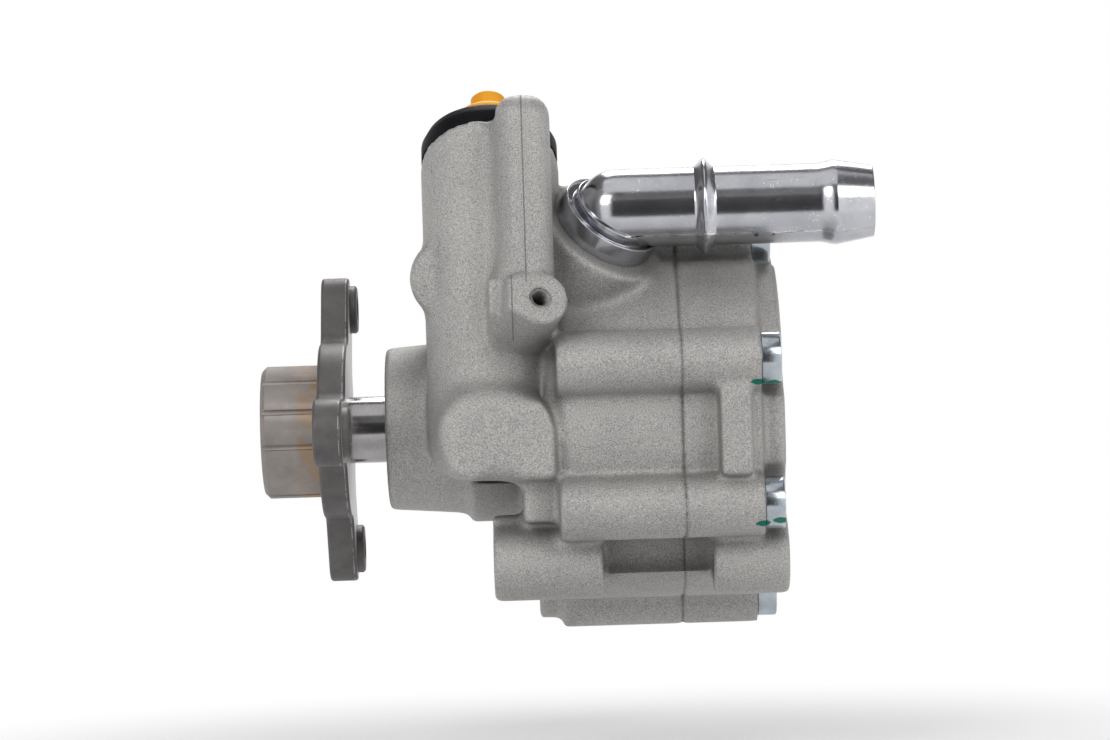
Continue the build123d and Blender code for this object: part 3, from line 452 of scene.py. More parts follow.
def cast_finish(name, light, dark):
    """As-cast aluminium: fine grain, faint cloudy patches, pores, mould lines and machined faces, with
    painted shade in recesses and along the mould lines.
    """
    finish = Finish(name, metallic=0.6)
    grain = finish.noise(0.34, 3, 0.75)
    coarse = finish.noise(2.6, 3, 0.6)
    clouds = finish.noise(24, 3, 0.55)
    pores = finish.cells(6.5).above(0.012, 0.05)
    color = finish.mix((clouds * 0.7 + coarse * 0.3).above(0.3, 0.7), dark, light)
    color = finish.mix(grain.above(0.5, 0.66) * 0.62, color, (0.78, 0.76, 0.73))
    color = finish.mix((1 - grain.above(0.36, 0.5)) * 0.62, color, (0.15, 0.143, 0.135))
    color = finish.mix((1 - pores) * 0.6, color, (0.12, 0.115, 0.11))
    # Painted shade: the colour darkens towards dark grey where ambient occlusion finds recesses, creases
    # and hollows.
    open_sky = finish.add(
        "ShaderNodeAmbientOcclusion", {"samples": 6}, {"Distance": 24 * MM}, output="AO"
    )
    color = finish.mix((1 - open_sky.above(0.5, 0.97)) * 0.43, color, (0.13, 0.124, 0.114))
    line = parting_lines(finish)
    height = grain * 0.6 + coarse * 0.5 + pores * 0.35 - line * 0.7
    # Painted shade: the mould lines are darkened to stand for the shade of their fine step.
    color = finish.mix(line * 0.55, color, (0.1, 0.095, 0.09))
    machined = faces_cut(finish)
    rings = turned_rings(finish)
    color = finish.mix(machined * 0.6, color, (0.6, 0.59, 0.58))
    green = paint_marks(finish)
    color = finish.mix(green, color, paint_green)
    finish.set(**{"Base Color": color})
    finish.set(Roughness=finish.add("ShaderNodeClamp", None, {
        0: 0.56 + (grain - 0.5) * 0.3 - machined * 0.2 - green * 0.15
    }))
    finish.bump(height * (1 - machined * 0.8) + rings * machined * 0.25, 0.3, 0.8)
    return finish


def faces_cut(finish):
    """Mask of the faces that a cutter has cleaned, by where they lie and how they face."""
    ahead = normal_along(finish, (-1, 0, 0)).above(0.97, 0.995)
    behind = normal_along(finish, x_axis).above(0.97, 0.995)
    front = ahead * finish.x.near(nose_face, 0.3, 0.2)
    lugs = ahead * finish.x.near(lug_face, 0.3, 0.2) * (1 - finish.z.above(lug_top, lug_top + 0.2))
    back = behind * finish.x.near(cover_back, 0.12, 0.1)
    seats = behind * finish.x.near(bolt_seat, 0.3, 0.2)
    return (front + lugs + back + seats).least(1.0)


def turned_rings(finish):
    """Fine rings round the shaft axis."""
    away = finish.along((0, 0, 0), x_axis)[1]
    return (away * 9.0).sine()


def steel_finish(name, color, roughness, brush=None, grain=0.3, depth=0.012, tint=None):
    """Bare or plated steel with fine marks, and brush lines where brush stretches them."""
    finish = Finish(name, metallic=1.0)
    fine = finish.noise(grain, 3, 0.6, stretch=brush)
    clouds = finish.noise(9, 3, 0.5)
    shade = tuple(c * 0.72 for c in color)
    base = finish.mix((clouds * 0.6 + fine * 0.4).above(0.3, 0.7), shade, color)
    if tint is not None:
        base = finish.mix(finish.noise(5, 4, 0.7).above(0.58, 0.75) * 0.5, base, tint)
    finish.set(**{"Base Color": base})
    finish.set(Roughness=roughness * (0.75 + 0.5 * fine))
    finish.bump(fine, depth, 0.6)
    return finish


def zinc_tube_finish():
    """Zinc plated tube: soft mirror, tiny light flecks, a few dark marks along the seam, painted dark
    reflections on the collar and under the pipe, and painted glints on the weld line.
    """
    finish = Finish("zinc_tube", metallic=1.0)
    fleck = finish.cells(0.8)
    fine = finish.noise(0.35, 3, 0.6)
    clouds = finish.noise(7, 3, 0.55)
    scratch = finish.noise(1.1, 2, 0.5, stretch=(0.12, 1.0, 1.0))
    base = finish.mix(clouds.above(0.3, 0.7), (0.52, 0.525, 0.57), (0.62, 0.625, 0.66))
    flecks = (1 - fleck.above(0.12, 0.3)) * finish.noise(3, 3).above(0.5, 0.62)
    base = finish.mix(flecks, base, (0.92, 0.92, 0.93))
    base = finish.mix(scratch.above(0.7, 0.76) * 0.5, base, (0.3, 0.3, 0.32))
    marks = finish.x * 0
    for place, size in tube_marks:
        marks = marks.most(finish.spot(place, size, 0.4))
    base = finish.mix(marks * 0.85, base, (0.03, 0.03, 0.03))
    # Painted reflection: the collar's outer wall and the neck are darkened towards grey, standing for the
    # dark surroundings they face.
    along, away = finish.along(port_place, port_axis)
    wall = (1 - along.above(collar_height - 0.5, collar_height - 0.25)) * away.above(12.4, 12.9)
    neck = (1 - along.above(curl_top, curl_top + 0.4)) * (1 - away.above(12.4, 12.6))
    base = finish.mix(wall.most(neck) * 0.25, base, (0.16, 0.16, 0.175))
    # Painted shade: the pipe's lower shell below the weld line is darkened, standing for the shaded
    # casting it reflects.
    low = corner_height - weld_down
    painted_shade_under = (1 - finish.z.above(low - 0.3, low)) * finish.x.above(78, 81) * (1 - finish.x.above(110, 124))
    base = finish.mix(painted_shade_under * 0.4, base, (0.16, 0.155, 0.15))
    # Along the weld line the bright spots are painted glints; the near-black spots are the dark seam of
    # the joint.
    ragged = finish.noise(1.4, 3, 0.7, stretch=(0.4, 1.0, 1.0))
    weld = finish.z.near(low + 0.1, 0.1, 0.12) * finish.x.above(78, 79) * (1 - finish.x.above(127, 128))
    base = finish.mix(weld * ragged.above(0.45, 0.55), base, (0.95, 0.94, 0.93))
    base = finish.mix(weld * (1 - ragged.above(0.36, 0.44)), base, (0.05, 0.05, 0.05))
    finish.set(**{"Base Color": base})
    finish.set(Roughness=0.13 + 0.12 * fine + marks * 0.3 + painted_shade_under * 0.2)
    finish.bump(fine * 0.6 + fleck * 0.6, 0.02, 0.5)
    return finish


def sintered_finish():
    """Sintered iron hub: warm pilot, darker plate, pale machined back, a brown tint in the corner, and
    painted highlights on the plate's rim.
    """
    finish = Finish("sintered_iron", metallic=0.55)
    grain = finish.noise(0.32, 4, 0.7)
    clouds = finish.noise(7, 3, 0.6)
    away = finish.along((0, 0, 0), x_axis)[1]
    pilot = (1 - finish.x.above(-0.5, 0.1)) * (1 - away.above(17.2, 18))
    back = normal_along(finish, x_axis).above(0.95, 0.99) * finish.x.near(plate_back, 0.3, 0.2)
    mottled = (clouds * 0.6 + grain * 0.4).above(0.32, 0.68)
    base = finish.mix(mottled, (0.115, 0.108, 0.108), (0.17, 0.16, 0.158))
    warm = finish.mix(clouds.above(0.35, 0.65), (0.29, 0.262, 0.245), (0.35, 0.315, 0.295))
    base = finish.mix(pilot, base, warm)
    tint = finish.x.near(-2.6, 1.4, 2.6) * finish.noise(6, 2).above(0.35, 0.6) * pilot
    base = finish.mix(tint * 0.55, base, (0.4, 0.235, 0.1))
    # Painted highlights: a pale line along the back rim of the plate, broken up by noise, and a pale spot
    # on the disc's near edge.
    edge = finish.x.near(plate_back - 0.75, 0.06, 0.1) * finish.noise(2.4, 3, 0.7).above(0.4, 0.55)
    painted_glint = finish.spot((-0.1, -22.3, 2.4), 0.8, 0.3)
    base = finish.mix((edge * 0.5).most(painted_glint * 0.8), base, (0.7, 0.69, 0.68))
    base = finish.mix(back, base, (0.62, 0.6, 0.6))
    base = finish.mix((1 - grain.above(0.3, 0.42)) * 0.45, base, (0.06, 0.055, 0.052))
    finish.set(**{"Base Color": base})
    finish.set(Roughness=0.42 + 0.2 * grain - back * 0.15)
    finish.bump(grain, 0.035, 0.5)
    return finish


def plastic_finish(name, color, dark, roughness):
    """Moulded plastic with a faint skin."""
    finish = Finish(name, roughness=roughness)
    skin = finish.noise(0.5, 3, 0.6)
    base = finish.mix((finish.noise(5, 3) * 0.6 + skin * 0.4).above(0.3, 0.7), dark, color)
    finish.set(**{"Base Color": base})
    finish.set(Roughness=roughness * (0.8 + 0.4 * skin))
    finish.bump(skin, 0.02, 0.5)
    return finish


def black_finish():
    """Black coated steel of the union, with turned rings and faintly worn rims."""
    finish = Finish("black_union", Specular_IOR_Level=0.1)
    away = finish.along(union_place, union_axis)[1]
    rings = (away * 12.0).sine()
    fine = finish.noise(0.4, 3, 0.6)
    base = finish.mix(fine.above(0.3, 0.7), (0.004, 0.004, 0.006), (0.01, 0.01, 0.014))
    wear = away.near(15.9, 0.1, 0.2) * finish.noise(2.5, 4, 0.7).above(0.58, 0.68)
    base = finish.mix(wear * 0.5, base, (0.2, 0.2, 0.2))
    finish.set(**{"Base Color": base})
    finish.set(Roughness=0.42 + 0.2 * fine)
    finish.bump(rings * 0.3 + fine * 0.5, 0.02, 0.5)
    return finish


def bolt_finish():
    """Bluish zinc of the cover screws, with the paint streaks of the cover."""
    finish = Finish("zinc_bolts", metallic=1.0)
    fine = finish.noise(0.4, 3, 0.6)
    clouds = finish.noise(4, 3, 0.5)
    base = finish.mix((clouds * 0.6 + fine * 0.4).above(0.3, 0.7), (0.4, 0.455, 0.5), (0.6, 0.65, 0.69))
    green = paint_marks(finish)
    base = finish.mix(green, base, paint_green)
    finish.set(**{"Base Color": base})
    finish.set(Roughness=0.13 + 0.12 * fine + green * 0.3)
    finish.set(Metallic=1 - green)
    finish.bump(fine, 0.015, 0.6)
    return finish


# Mesh tools

def mesh_piece(name, points, faces, smooth=True):
    """Object from points in millimetres."""
    mesh = bpy.data.meshes.new(name)
    mesh.from_pydata([tuple(c * MM for c in p) for p in points], [], faces)
    mesh.validate()
    if smooth:
        mesh.shade_smooth()
    piece = bpy.data.objects.new(name, mesh)
    scene.collection.objects.link(piece)
    return piece


def settle(piece, kind, settings):
    """Applies one modifier with its settings."""
    modifier = piece.modifiers.new(kind.lower(), kind)
    for key, value in settings.items():
        setattr(modifier, key, value)
    graph = bpy.context.evaluated_depsgraph_get()
    mesh = bpy.data.meshes.new_from_object(piece.evaluated_get(graph))
    piece.modifiers.clear()
    piece.data = mesh


def joined(name, pieces):
    """One object from several."""
    bpy.ops.object.select_all(action="DESELECT")
    for piece in pieces:
        piece.select_set(True)
    bpy.context.view_layer.objects.active = pieces[0]
    bpy.ops.object.join()
    pieces[0].name = name
    return pieces[0]


def rings_to_faces(rows, sides, closed=False):
    """Quads between rings of points, each ring closed on itself."""
    faces = []
    for row in range(rows if closed else rows - 1):
        here, there = row * sides, ((row + 1) % rows) * sides
        for i in range(sides):
            j = (i + 1) % sides
            faces.append((here + i, here + j, there + j, there + i))
    return faces


def basis(axis):
    """Two directions square to an axis."""
    axis = Vector(axis).normalized()
    side = axis.cross(Vector((0, 0, 1)))
    if side.length < 0.1:
        side = axis.cross(Vector((0, 1, 0)))
    side.normalize()
    return side, axis.cross(side)


def lathe(name, place, axis, outline, sides):
    """Turned piece from a closed outline of (radius, station) pairs."""
    axis = Vector(axis).normalized()
    side, up = basis(axis)
    points = []
    for radius, station in outline:
        for i in range(sides):
            a = 2 * pi * i / sides
            points.append(Vector(place) + axis * station + (side * cos(a) + up * sin(a)) * radius)
    return mesh_piece(name, points, rings_to_faces(len(outline), sides, closed=True))


def screw_thread(name, place, axis, size, body, finish):
    """Helical ridge inside a tapped hole, from its mouth down."""
    hole_radius, height, pitch, depth = size
    side, up = basis(axis)
    axis = Vector(axis).normalized()
    points = []
    root, crest, flank = hole_radius + thread_sink, hole_radius - height, thread_flank * pitch
    count = int((depth - pitch) / pitch * thread_steps) + 1
    for i in range(count):
        a = 2 * pi * i / thread_steps
        out = side * cos(a) + up * sin(a)
        middle = -pitch / 2 - pitch * i / thread_steps
        for radius, shift in ((root, -flank), (crest, 0.0), (root, flank)):
            points.append(Vector(place) + axis * (middle + shift) + out * radius)
    faces = rings_to_faces(count, 3)
    faces += [(0, 1, 2), tuple(3 * (count - 1) + i for i in (2, 1, 0))]
    piece = mesh_piece(name, points, faces, smooth=False)
    finish.cover(piece)
    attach(piece, body)


def ease_edges(piece, width):
    """Small bevel on the sharp edges of a CAD piece."""
    weld = piece.modifiers.new("weld", "WELD")
    weld.merge_threshold = weld_distance * MM
    bevel = piece.modifiers.new("bevel", "BEVEL")
    bevel.width = width * MM
    bevel.segments = 2
    bevel.angle_limit = radians(40)
    bevel.harden_normals = True


# Cover screws

def cap_screws(finish):
    """Low-headed screws; a negative radius is half the width of the hexagon socket across flats."""
    socket = screw_socket / 2
    outline = (
        (screw_shank - screw_point, -screw_length), (screw_shank, screw_point - screw_length),
        (screw_shank, 0.0), (screw_head - head_base, 0.0), (screw_head, head_base),
        (screw_head, screw_rise - head_crown),
        (screw_head - head_crown / 4, screw_rise - head_crown / 3),
        (screw_head - head_crown, screw_rise), (socket_mouth, screw_rise),
        (-socket, screw_rise - socket_chamfer), (-socket, socket_floor),
        (socket_tip, socket_floor - socket_cone),
    )
    pieces = []
    for y, z in bolt_places():
        points = []
        for radius, station in outline:
            for i in range(screw_sides):
                a = 2 * pi * i / screw_sides
                corner = (a % (pi / 3)) - pi / 6
                out = radius if radius > 0 else -radius / cos(corner)
                points.append((bolt_seat + station, y + out * cos(a), z + out * sin(a)))
        faces = rings_to_faces(len(outline), screw_sides)
        last = len(points) - screw_sides
        faces += [tuple(reversed(range(screw_sides))), tuple(range(last, last + screw_sides))]
        pieces.append(mesh_piece("screw", points, faces, smooth=False))
    piece = joined("cap_screws", pieces)
    piece.data.shade_smooth()
    piece.data.set_sharp_from_angle(angle=radians(35))
    finish.cover(piece)
    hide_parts("cover_bolts")
    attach(piece, "housing")


# Springs

def coil(node, body, finish):
    """Coil spring: a copy of the node's mesh with its own mesh data, given the finish and hung on its
    body.
    """
    piece = bpy.data.objects.new(f"{node}_coil", nodes[node].data.copy())
    scene.collection.objects.link(piece)
    finish.cover(piece)
    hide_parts(node)
    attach(piece, body)
    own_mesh(piece)


# Castings

def to_axis(points, place, axis):
    """Station of each point along an axis through place, and its distance from that axis."""
    axis = np.array(axis)
    offset = points - np.array(place)
    t = offset @ axis
    return t, np.linalg.norm(offset - t[:, None] * axis, axis=1)


def in_cuts(points, cuts):
    """True for points inside any of the cylinders, each a place, axis, radius, start and end."""
    kept = np.zeros(len(points), dtype=bool)
    for place, axis, radius, start, end in cuts:
        t, away = to_axis(points, place, axis)
        kept |= (away < radius) & (t > start) & (t < end)
    return kept


def bolt_places():
    """Places of the six cover screws across the shaft axis."""
    return [(-bolt_circle * cos(radians(a)), bolt_circle * sin(radians(a))) for a in bolt_angles]


def housing_cuts(points):
    """Points of the bores and machined seats of the front housing, which keep their place."""
    tower, gallery = (tower_x, tower_y, 0), (gallery_x, 0, gallery_z)
    cuts = [
        ((0, 0, 0), x_axis, nose_cut, 0, body_face + 3),
        ((0, 0, 0), x_axis, body_cut, body_face - 0.4, seam),
        (tower, z_axis, valve_cut, -20, 46),
        (tower, z_axis, valve_end_cut, 40, 70),
        (union_place, union_axis, union_cut, -15, 2),
        (port_place, port_axis, port_cut, -26, 2),
        (port_place, port_axis, port_seat_cut, -0.4, 12),
        (tapped_place, tapped_axis, tapped_cut, -14, 2),
        (gallery, y_axis, gallery_mouth_cut, -9, 5),
        (gallery, y_axis, gallery_cut, -26, -5),
    ]
    for y in (-lug_y, lug_y):
        cuts.append(((0, y, lug_z), x_axis, lug_hole_cut, 40, 71))
        cuts.append(((0, y, lug_z), x_axis, lug_sleeve_cut, 70, 98))
    cuts += [((0, y, z), x_axis, bolt_hole_cut, 70, 92) for y, z in bolt_places()]
    return in_cuts(points, cuts)


def cover_cuts(points):
    """Points of the bores and machined faces of the rear cover, which keep their place."""
    cuts = []
    for y in (-lug_y, lug_y):
        cuts.append(((0, y, lug_z), x_axis, lug_hole_cut, 90, 120))
        cuts.append(((0, y, lug_z), x_axis, lug_sleeve_cut, 90, 98))
    for y, z in bolt_places():
        cuts.append(((0, y, z), x_axis, bolt_seat_cut, bolt_seat - 0.4, bolt_seat + 0.4))
        cuts.append(((0, y, z), x_axis, bolt_hole_cut, 88, 112))
    return in_cuts(points, cuts) | (points[:, 0] < seam - 0.6)


def fading(away, reach):
    """1 at a place, falling to 0 at 1.6 times reach from it."""
    return np.clip(1.6 - away / reach, 0, 1)


def housing_zones(points):
    """How far the cores of the mould blend a place into its neighbours, from 0 to 1."""
    x, y, z = points.T
    arc = [(pad_corner_x + pad_corner * cos(radians(a)), pad_corner_z + pad_corner * sin(radians(a)))
           for a in range(90, 196, 15)]
    arc += [(pad_corner_x + step, pad_corner_z + pad_corner) for step in (3, 6, 9)]
    pad = np.zeros(len(points))
    for arc_x, arc_z in arc:
        pad = np.maximum(pad, fading(np.hypot(x - arc_x, z - arc_z), pad_reach) * (y < -36))
    crease = fading(np.abs(x - crease_x), crease_reach) * (y < -34)
    crease = crease * (np.clip((z - 36) / 4, 0, 1) * np.clip((78 - z) / 4, 0, 1))
    slot = fading(np.hypot(x - slot_x, z - slot_z), slot_reach) * (y < -30)
    height, away = to_axis(points, union_place, union_axis)
    rim = rim_share * (np.abs(height) < 2.4) * (away > 13.6) * (away < 22)
    return np.maximum.reduce([pad, crease, slot, rim])


def within(points, box):
    """True for points between the two corners of a box."""
    low, high = box
    return ((points > np.array(low)) & (points < np.array(high))).all(1)


def web():
    """Small block of casting that closes the slit between the nose and the lower lug."""
    low, high = web_box
    corners = [
        (x, y, z) for x in (low[0], high[0]) for y in (low[1], high[1]) for z in (low[2], high[2])
    ]
    faces = [(0, 1, 3, 2), (4, 6, 7, 5), (0, 4, 5, 1), (2, 3, 7, 6), (0, 2, 6, 4), (1, 5, 7, 3)]
    return mesh_piece("web", corners, faces, smooth=False)


def flatten(points, place, axis, radius, reach):
    """Puts points that lie near a machined plane onto it."""
    t, away = to_axis(points, place, axis)
    near = (np.abs(t) < reach) & (away < radius)
    points[near] -= t[near, None] * np.array(axis)


def cast_skin(node, voxel, cuts, fill_length, zones=None):
    """The casting with the soft inside corners and eased edges that the mould leaves."""
    is_housing = node == "front_housing"
    piece = bpy.data.objects.new(f"{node}_cast", nodes[node].data.copy())
    scene.collection.objects.link(piece)
    if is_housing:
        piece = joined(piece.name, [piece, web()])
    settle(piece, "REMESH", {"mode": "VOXEL", "voxel_size": voxel * MM})
    mesh = piece.data
    count = len(mesh.vertices)
    points = np.zeros(count * 3)
    mesh.vertices.foreach_get("co", points)
    points = points.reshape(-1, 3)
    edges = np.zeros(len(mesh.edges) * 2, dtype=np.int32)
    mesh.edges.foreach_get("vertices", edges)
    a, b = edges.reshape(-1, 2).T
    valence = np.bincount(a, minlength=count) + np.bincount(b, minlength=count)
    free = (~cuts(points / MM)).astype(float)[:, None]
    if is_housing:
        free[within(points / MM, lug_crisp)] *= crisp_share
    normals = np.zeros(count * 3)

    def pull():
        """Way from each point to the middle of its neighbours."""
        total = np.zeros_like(points)
        for k in range(3):
            total[:, k] = np.bincount(a, points[b, k], count) + np.bincount(b, points[a, k], count)
        return total / valence[:, None] - points

    for step in range(round((fill_length / voxel) ** 2)):
        if step % normal_every == 0:
            mesh.vertices.foreach_set("co", points.ravel())
            mesh.update()
            mesh.vertex_normals.foreach_get("vector", normals)
            facing = normals.reshape(-1, 3)
        move = pull()
        out = (move * facing).sum(1, keepdims=True)
        points += free * (np.maximum(out, 0) * facing + slide_share * (move - out * facing))
    for _ in range(ease_rounds):
        points += free * ease_share * pull()
    if zones is not None:
        zone = free * zones(points / MM)[:, None]
        for _ in range(round((blend_length / voxel) ** 2)):
            points += zone * ease_share * pull()
    points /= MM
    flatten(points, (seam, 0, 0), x_axis, seam_cut, 0.55)
    if is_housing:
        flatten(points, union_place, union_axis, union_seat_cut, 0.6)
    points *= MM
    mesh.vertices.foreach_set("co", points.ravel())
    mesh.update()
    settle(piece, "DECIMATE", {"ratio": min(1.0, face_limit / len(mesh.polygons))})
    piece.data.shade_smooth()
    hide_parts(node)
    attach(piece, "housing")
    return piece


# Suction elbow

def weld_drop(angle):
    """How far the lower half shell lies inside the upper one, at an angle round the pipe."""
    return weld_step if cos(angle - weld_middle) > cos(weld_half) else 0.0


def tube_angles():
    """Angles round the tube, close together at the weld lines of the two half shells."""
    even = [2 * pi * i / elbow_sides for i in range(elbow_sides)]
    edges = (weld_middle - weld_half, weld_middle + weld_half)
    tight = [edge + side for edge in edges for side in (-weld_tight, weld_tight)]
    return sorted([a for a in even if all(abs(a - e) > weld_clear for e in edges)] + tight)


def elbow_tube(radius_at, shrink):
    """Outer or inner skin of the tube: stub, sharp mitre and straight pipe."""
    corner = port_place + port_axis * corner_rise
    base = pipe_radius - shrink
    welded = shrink == 0.0
    angles = tube_angles()

    def rim(angle, side, radius):
        """From the middle of the tube to its skin."""
        return (tube_across * cos(angle) + side * sin(angle)) * radius

    stub_foot = port_place + port_axis * (collar_height - stub_sink)
    rings = [[stub_foot + rim(t, stub_side, base) for t in angles]]
    for k in range(mitre_steps + 1):
        share = k / mitre_steps
        ring = []
        for t in angles:
            radius = base - (weld_drop(t) * share if welded else 0.0)
            lead = radius * sin(t) * tan(tube_turn / 2)
            ease = mitre_ease + mitre_outer_ease * max(0.0, -sin(t)) ** 2
            low = corner + rim(t, stub_side, radius) - port_axis * (lead + ease)
            mid = corner + rim(t, stub_side, radius) - port_axis * lead
            high = corner + rim(t, pipe_side, radius) + pipe_axis * (lead + ease)
            ring.append(low * (1 - share) ** 2 + mid * 2 * share * (1 - share) + high * share**2)
        rings.append(ring)
    first = corner.x + straight_start
    count = int((pipe_end - first) / ring_step)
    drops = [weld_drop(t) if welded else 0.0 for t in angles]
    for i in range(count + 1):
        x = first + (pipe_end - first) * i / count
        center = Vector((x, corner.y, corner.z))
        radius = radius_at(x) - shrink
        rings.append([center + rim(t, pipe_side, radius - drop) for t, drop in zip(angles, drops)])
    return [p for ring in rings for p in ring], len(rings)


def pipe_outline(x):
    """Outer radius of the pipe: tent-shaped bead and hose barb."""
    away = (abs(x - bead_x) ** 2 + bead_crown**2) ** 0.5 - bead_crown
    if away < bead_half:
        return pipe_radius + bead_rise * (1 - away / bead_half) ** 1.35
    if x > barb_crest:
        return barb_radius + (barb_tip - barb_radius) * (x - barb_crest) / (pipe_end - barb_crest)
    if x > barb_start:
        share = (x - barb_start) / (barb_crest - barb_start)
        return pipe_radius + (barb_radius - pipe_radius) * share * share * (3 - 2 * share)
    return pipe_radius


def suction_elbow(finish):
    """Pressed collar with a bright lip, curled neck, mitred stub and pipe."""
    outer, rows = elbow_tube(pipe_outline, 0.0)
    inner, _ = elbow_tube(lambda x: min(pipe_radius, pipe_outline(x)), pipe_wall)
    sides = len(tube_angles())
    faces = rings_to_faces(rows, sides)
    shift = len(outer)
    faces += [tuple(shift + i for i in reversed(face)) for face in rings_to_faces(rows, sides)]
    last = (rows - 1) * sides
    for i in range(sides):
        j = (i + 1) % sides
        faces.append((last + i, last + j, shift + last + j, shift + last + i))
        faces.append((i, shift + i, shift + j, j))
    tube = mesh_piece("tube", outer + inner, faces)
    rim_radius, lip_floor = collar_radius - collar_rim, collar_height - collar_lip
    collar = lathe("collar", port_place, port_axis, rounded([
        (collar_bore, collar_gap), (collar_radius, collar_gap), (collar_radius, collar_height),
        (rim_radius, collar_height), (rim_radius, lip_floor), (curl_radius, lip_floor),
        (curl_radius, curl_top), (collar_bore, curl_top),
    ], collar_edge), elbow_sides)
    spigot = lathe("spigot", port_place, port_axis, rounded([
        (spigot_radius, -spigot_depth), (spigot_radius, spigot_top),
        (spigot_bore, spigot_top), (spigot_bore, -spigot_depth),
    ], spigot_edge), spigot_sides)
    piece = joined("suction_elbow_pressed", [tube, collar, spigot])
    finish.cover(piece)
    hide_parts("suction_elbow")
    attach(piece, "housing")


def rounded(outline, radius):
    """Closed outline with each corner eased by a small curve."""
    result = []
    steps = 4
    count = len(outline)
    for i in range(count):
        before, here, after = (Vector(outline[(i + k) % count]) for k in (-1, 0, 1))
        back, ahead = before - here, after - here
        reach = min(radius, back.length * 0.45, ahead.length * 0.45)
        start, end = here + back.normalized() * reach, here + ahead.normalized() * reach
        for k in range(steps + 1):
            s = k / steps
            result.append(tuple(start * (1 - s) ** 2 + here * 2 * s * (1 - s) + end * s**2))
    return result


# Light, floor and camera

def studio():
    """Room that is white to the eye, with a dim ceiling and the dark side where the camera stands."""
    world = bpy.data.worlds.new("room")
    scene.world = world
    world.use_nodes = True
    room = Graph(world.node_tree)
    room.tree.nodes.clear()
    x, y, z = room.split(room.add("ShaderNodeTexCoord", output="Generated"))
    window = (1 - abs(x).above(0.22, 0.36)) * (1 - y.above(-0.3, -0.1)) * z.above(-0.62, -0.5)
    window = window * (1 - z.above(0.4, 0.56))
    ceiling = z.above(0.36, 0.5) * 0.86
    shown = 1 - ceiling.most(window * 0.96)
    seen, mirrored, through = room.rays()
    level = seen.most(mirrored.most(through) * shown).most((1 - seen.most(mirrored)) * room_level)
    surface = room.add("ShaderNodeBackground", None, {"Color": (1, 1, 1, 1), "Strength": level})
    room.add("ShaderNodeOutputWorld", None, {"Surface": surface}, output=None)


def lamp(name, bearing, height, width, power):
    """Soft square lamp that looks at the pump from a bearing and a height."""
    data = bpy.data.lights.new(name, "AREA")
    data.shape = "SQUARE"
    data.size = width * MM
    data.energy = power
    piece = bpy.data.objects.new(name, data)
    scene.collection.objects.link(piece)
    flat = cos(radians(height))
    way = Vector((sin(radians(bearing)) * flat, -cos(radians(bearing)) * flat, sin(radians(height))))
    piece.location = (Vector(camera_target) + way * lamp_distance) * MM
    piece.rotation_euler = way.to_track_quat("Z", "Y").to_euler()


def floor():
    """Pale floor a little below the pump, whose far parts run into the white background."""
    drop = cad_box[0].z / MM - floor_drop
    corners = ((-floor_half, -floor_front), (floor_half, -floor_front), (floor_half, floor_half),
               (-floor_half, floor_half))
    piece = mesh_piece("floor", [(x, y, drop) for x, y in corners], [(0, 1, 2, 3)], smooth=False)
    finish = Finish("floor", (0.94, 0.94, 0.94), roughness=0.9)
    away = finish.along(camera_target, z_axis)[1]
    seen, mirrored, through = finish.rays()
    white = finish.add("ShaderNodeEmission", None, {"Color": (1, 1, 1, 1), "Strength": 1.0})
    lit = Socket(finish, finish.shader.outputs[0])
    share = away.above(white_from, white_to) * seen
    share = share.most(away.above(white_to, 2 * white_to) * mirrored.most(through))
    shown = finish.add("ShaderNodeMixShader", None, {0: share, 1: lit, 2: white})
    finish.feed(finish.tree.nodes["Material Output"].inputs["Surface"], shown)
    finish.cover(piece)


def camera():
    """Camera level with the pump, rolled a little as in the photograph."""
    data = bpy.data.cameras.new("camera")
    data.sensor_width = sensor_width
    data.lens = pixels_per_mm * camera_distance * sensor_width / photo_width_px
    data.clip_end = 100
    piece = bpy.data.objects.new("camera", data)
    scene.collection.objects.link(piece)
    scene.camera = piece
    x, _, z = camera_target
    look = Matrix.Rotation(radians(90), 4, "X") @ Matrix.Rotation(radians(camera_roll), 4, "Z")
    piece.matrix_world = Matrix.Translation(Vector((x, -camera_distance, z)) * MM) @ look


# Build

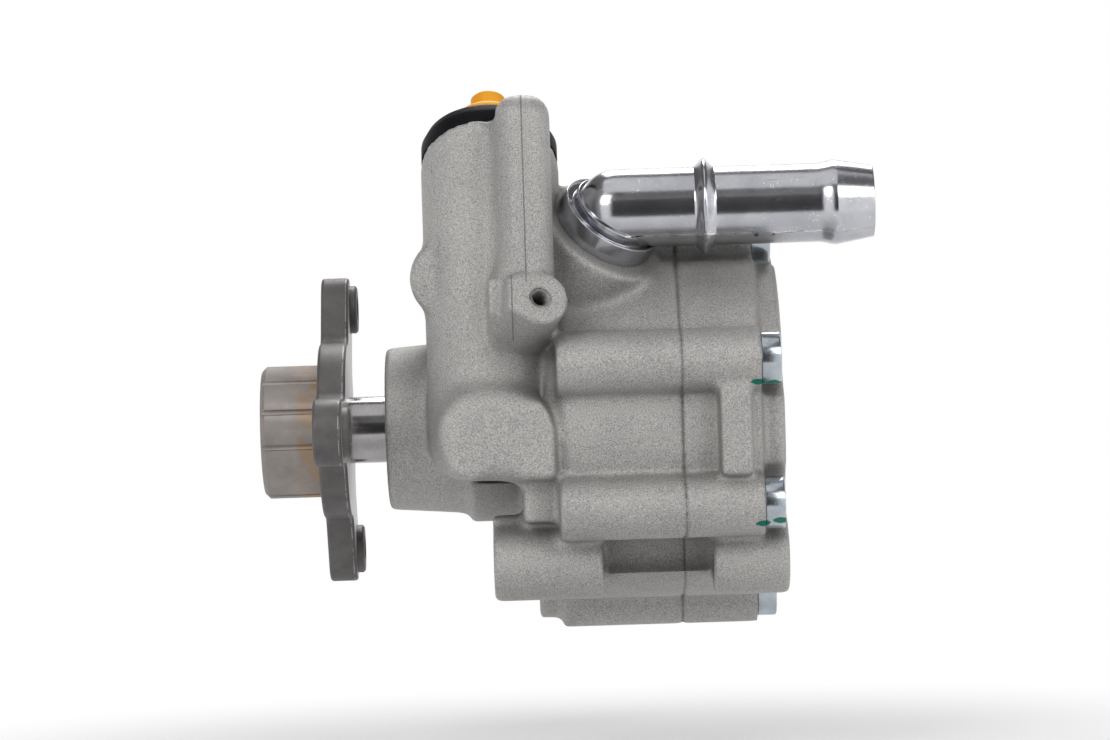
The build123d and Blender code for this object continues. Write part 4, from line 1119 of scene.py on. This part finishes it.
cast = cast_finish("cast_aluminium", (0.51, 0.498, 0.485), (0.42, 0.41, 0.4))
sintered = sintered_finish()
ground = steel_finish(
    "ground_steel", (0.5, 0.485, 0.49), 0.17, brush=(1.0, 0.15, 0.15), grain=0.25, depth=0.004
)
bolts = bolt_finish()
zinc_tube = zinc_tube_finish()
union = black_finish()
orange = plastic_finish("orange_plastic", (1.0, 0.47, 0.007), (1.0, 0.41, 0.006), 0.55)
hardened = steel_finish("hardened_steel", (0.55, 0.55, 0.55), 0.3)
spring = steel_finish("spring_steel", (0.34, 0.33, 0.32), 0.35)
pressed = steel_finish("pressed_steel", (0.62, 0.62, 0.62), 0.32)
turned = steel_finish(
    "turned_steel", (0.6, 0.6, 0.62), 0.28, brush=(1.0, 1.0, 0.2), tint=(0.4, 0.36, 0.3)
)
bronze = steel_finish("bronze", (0.62, 0.42, 0.2), 0.35)
rubber = plastic_finish("black_rubber", (0.03, 0.03, 0.03), (0.018, 0.018, 0.018), 0.6)
finishes = {
    f.name: f for f in (
        cast, sintered, ground, bolts, zinc_tube, union, orange, hardened, spring, pressed, turned,
        bronze, rubber,
    )
}
for part in frame["record"]["subparts"]:
    piece = nodes[part["node"]]
    finishes[part["material_slot"]].cover(piece)
for node, width in eased:
    ease_edges(nodes[node], width)

housing_voxel = fine_voxel
cover_voxel = fine_voxel
housing = cast_skin("front_housing", housing_voxel, housing_cuts, housing_fill, housing_zones)
cover = cast_skin("rear_cover", cover_voxel, cover_cuts, cover_fill)
cast.cover(housing, cover)
suction_elbow(zinc_tube)
cap_screws(bolts)
coil("valve_spring", "housing", spring)
coil("relief_spring", "spool", spring)
screw_thread("lug_thread_turns", tapped_place, tapped_axis, lug_thread, "housing", cast)
for i in range(3):
    a = radians(180 + 120 * i)
    mouth = (hub_thread_mouth, hub_thread_circle * cos(a), hub_thread_circle * sin(a))
    screw_thread(f"hub_thread_turns_{i + 1}", mouth, x_axis, hub_thread, "drive", sintered)

studio()
for settings in lamps:
    lamp(*settings)
floor()
camera()
scene.view_settings.view_transform = "Standard"
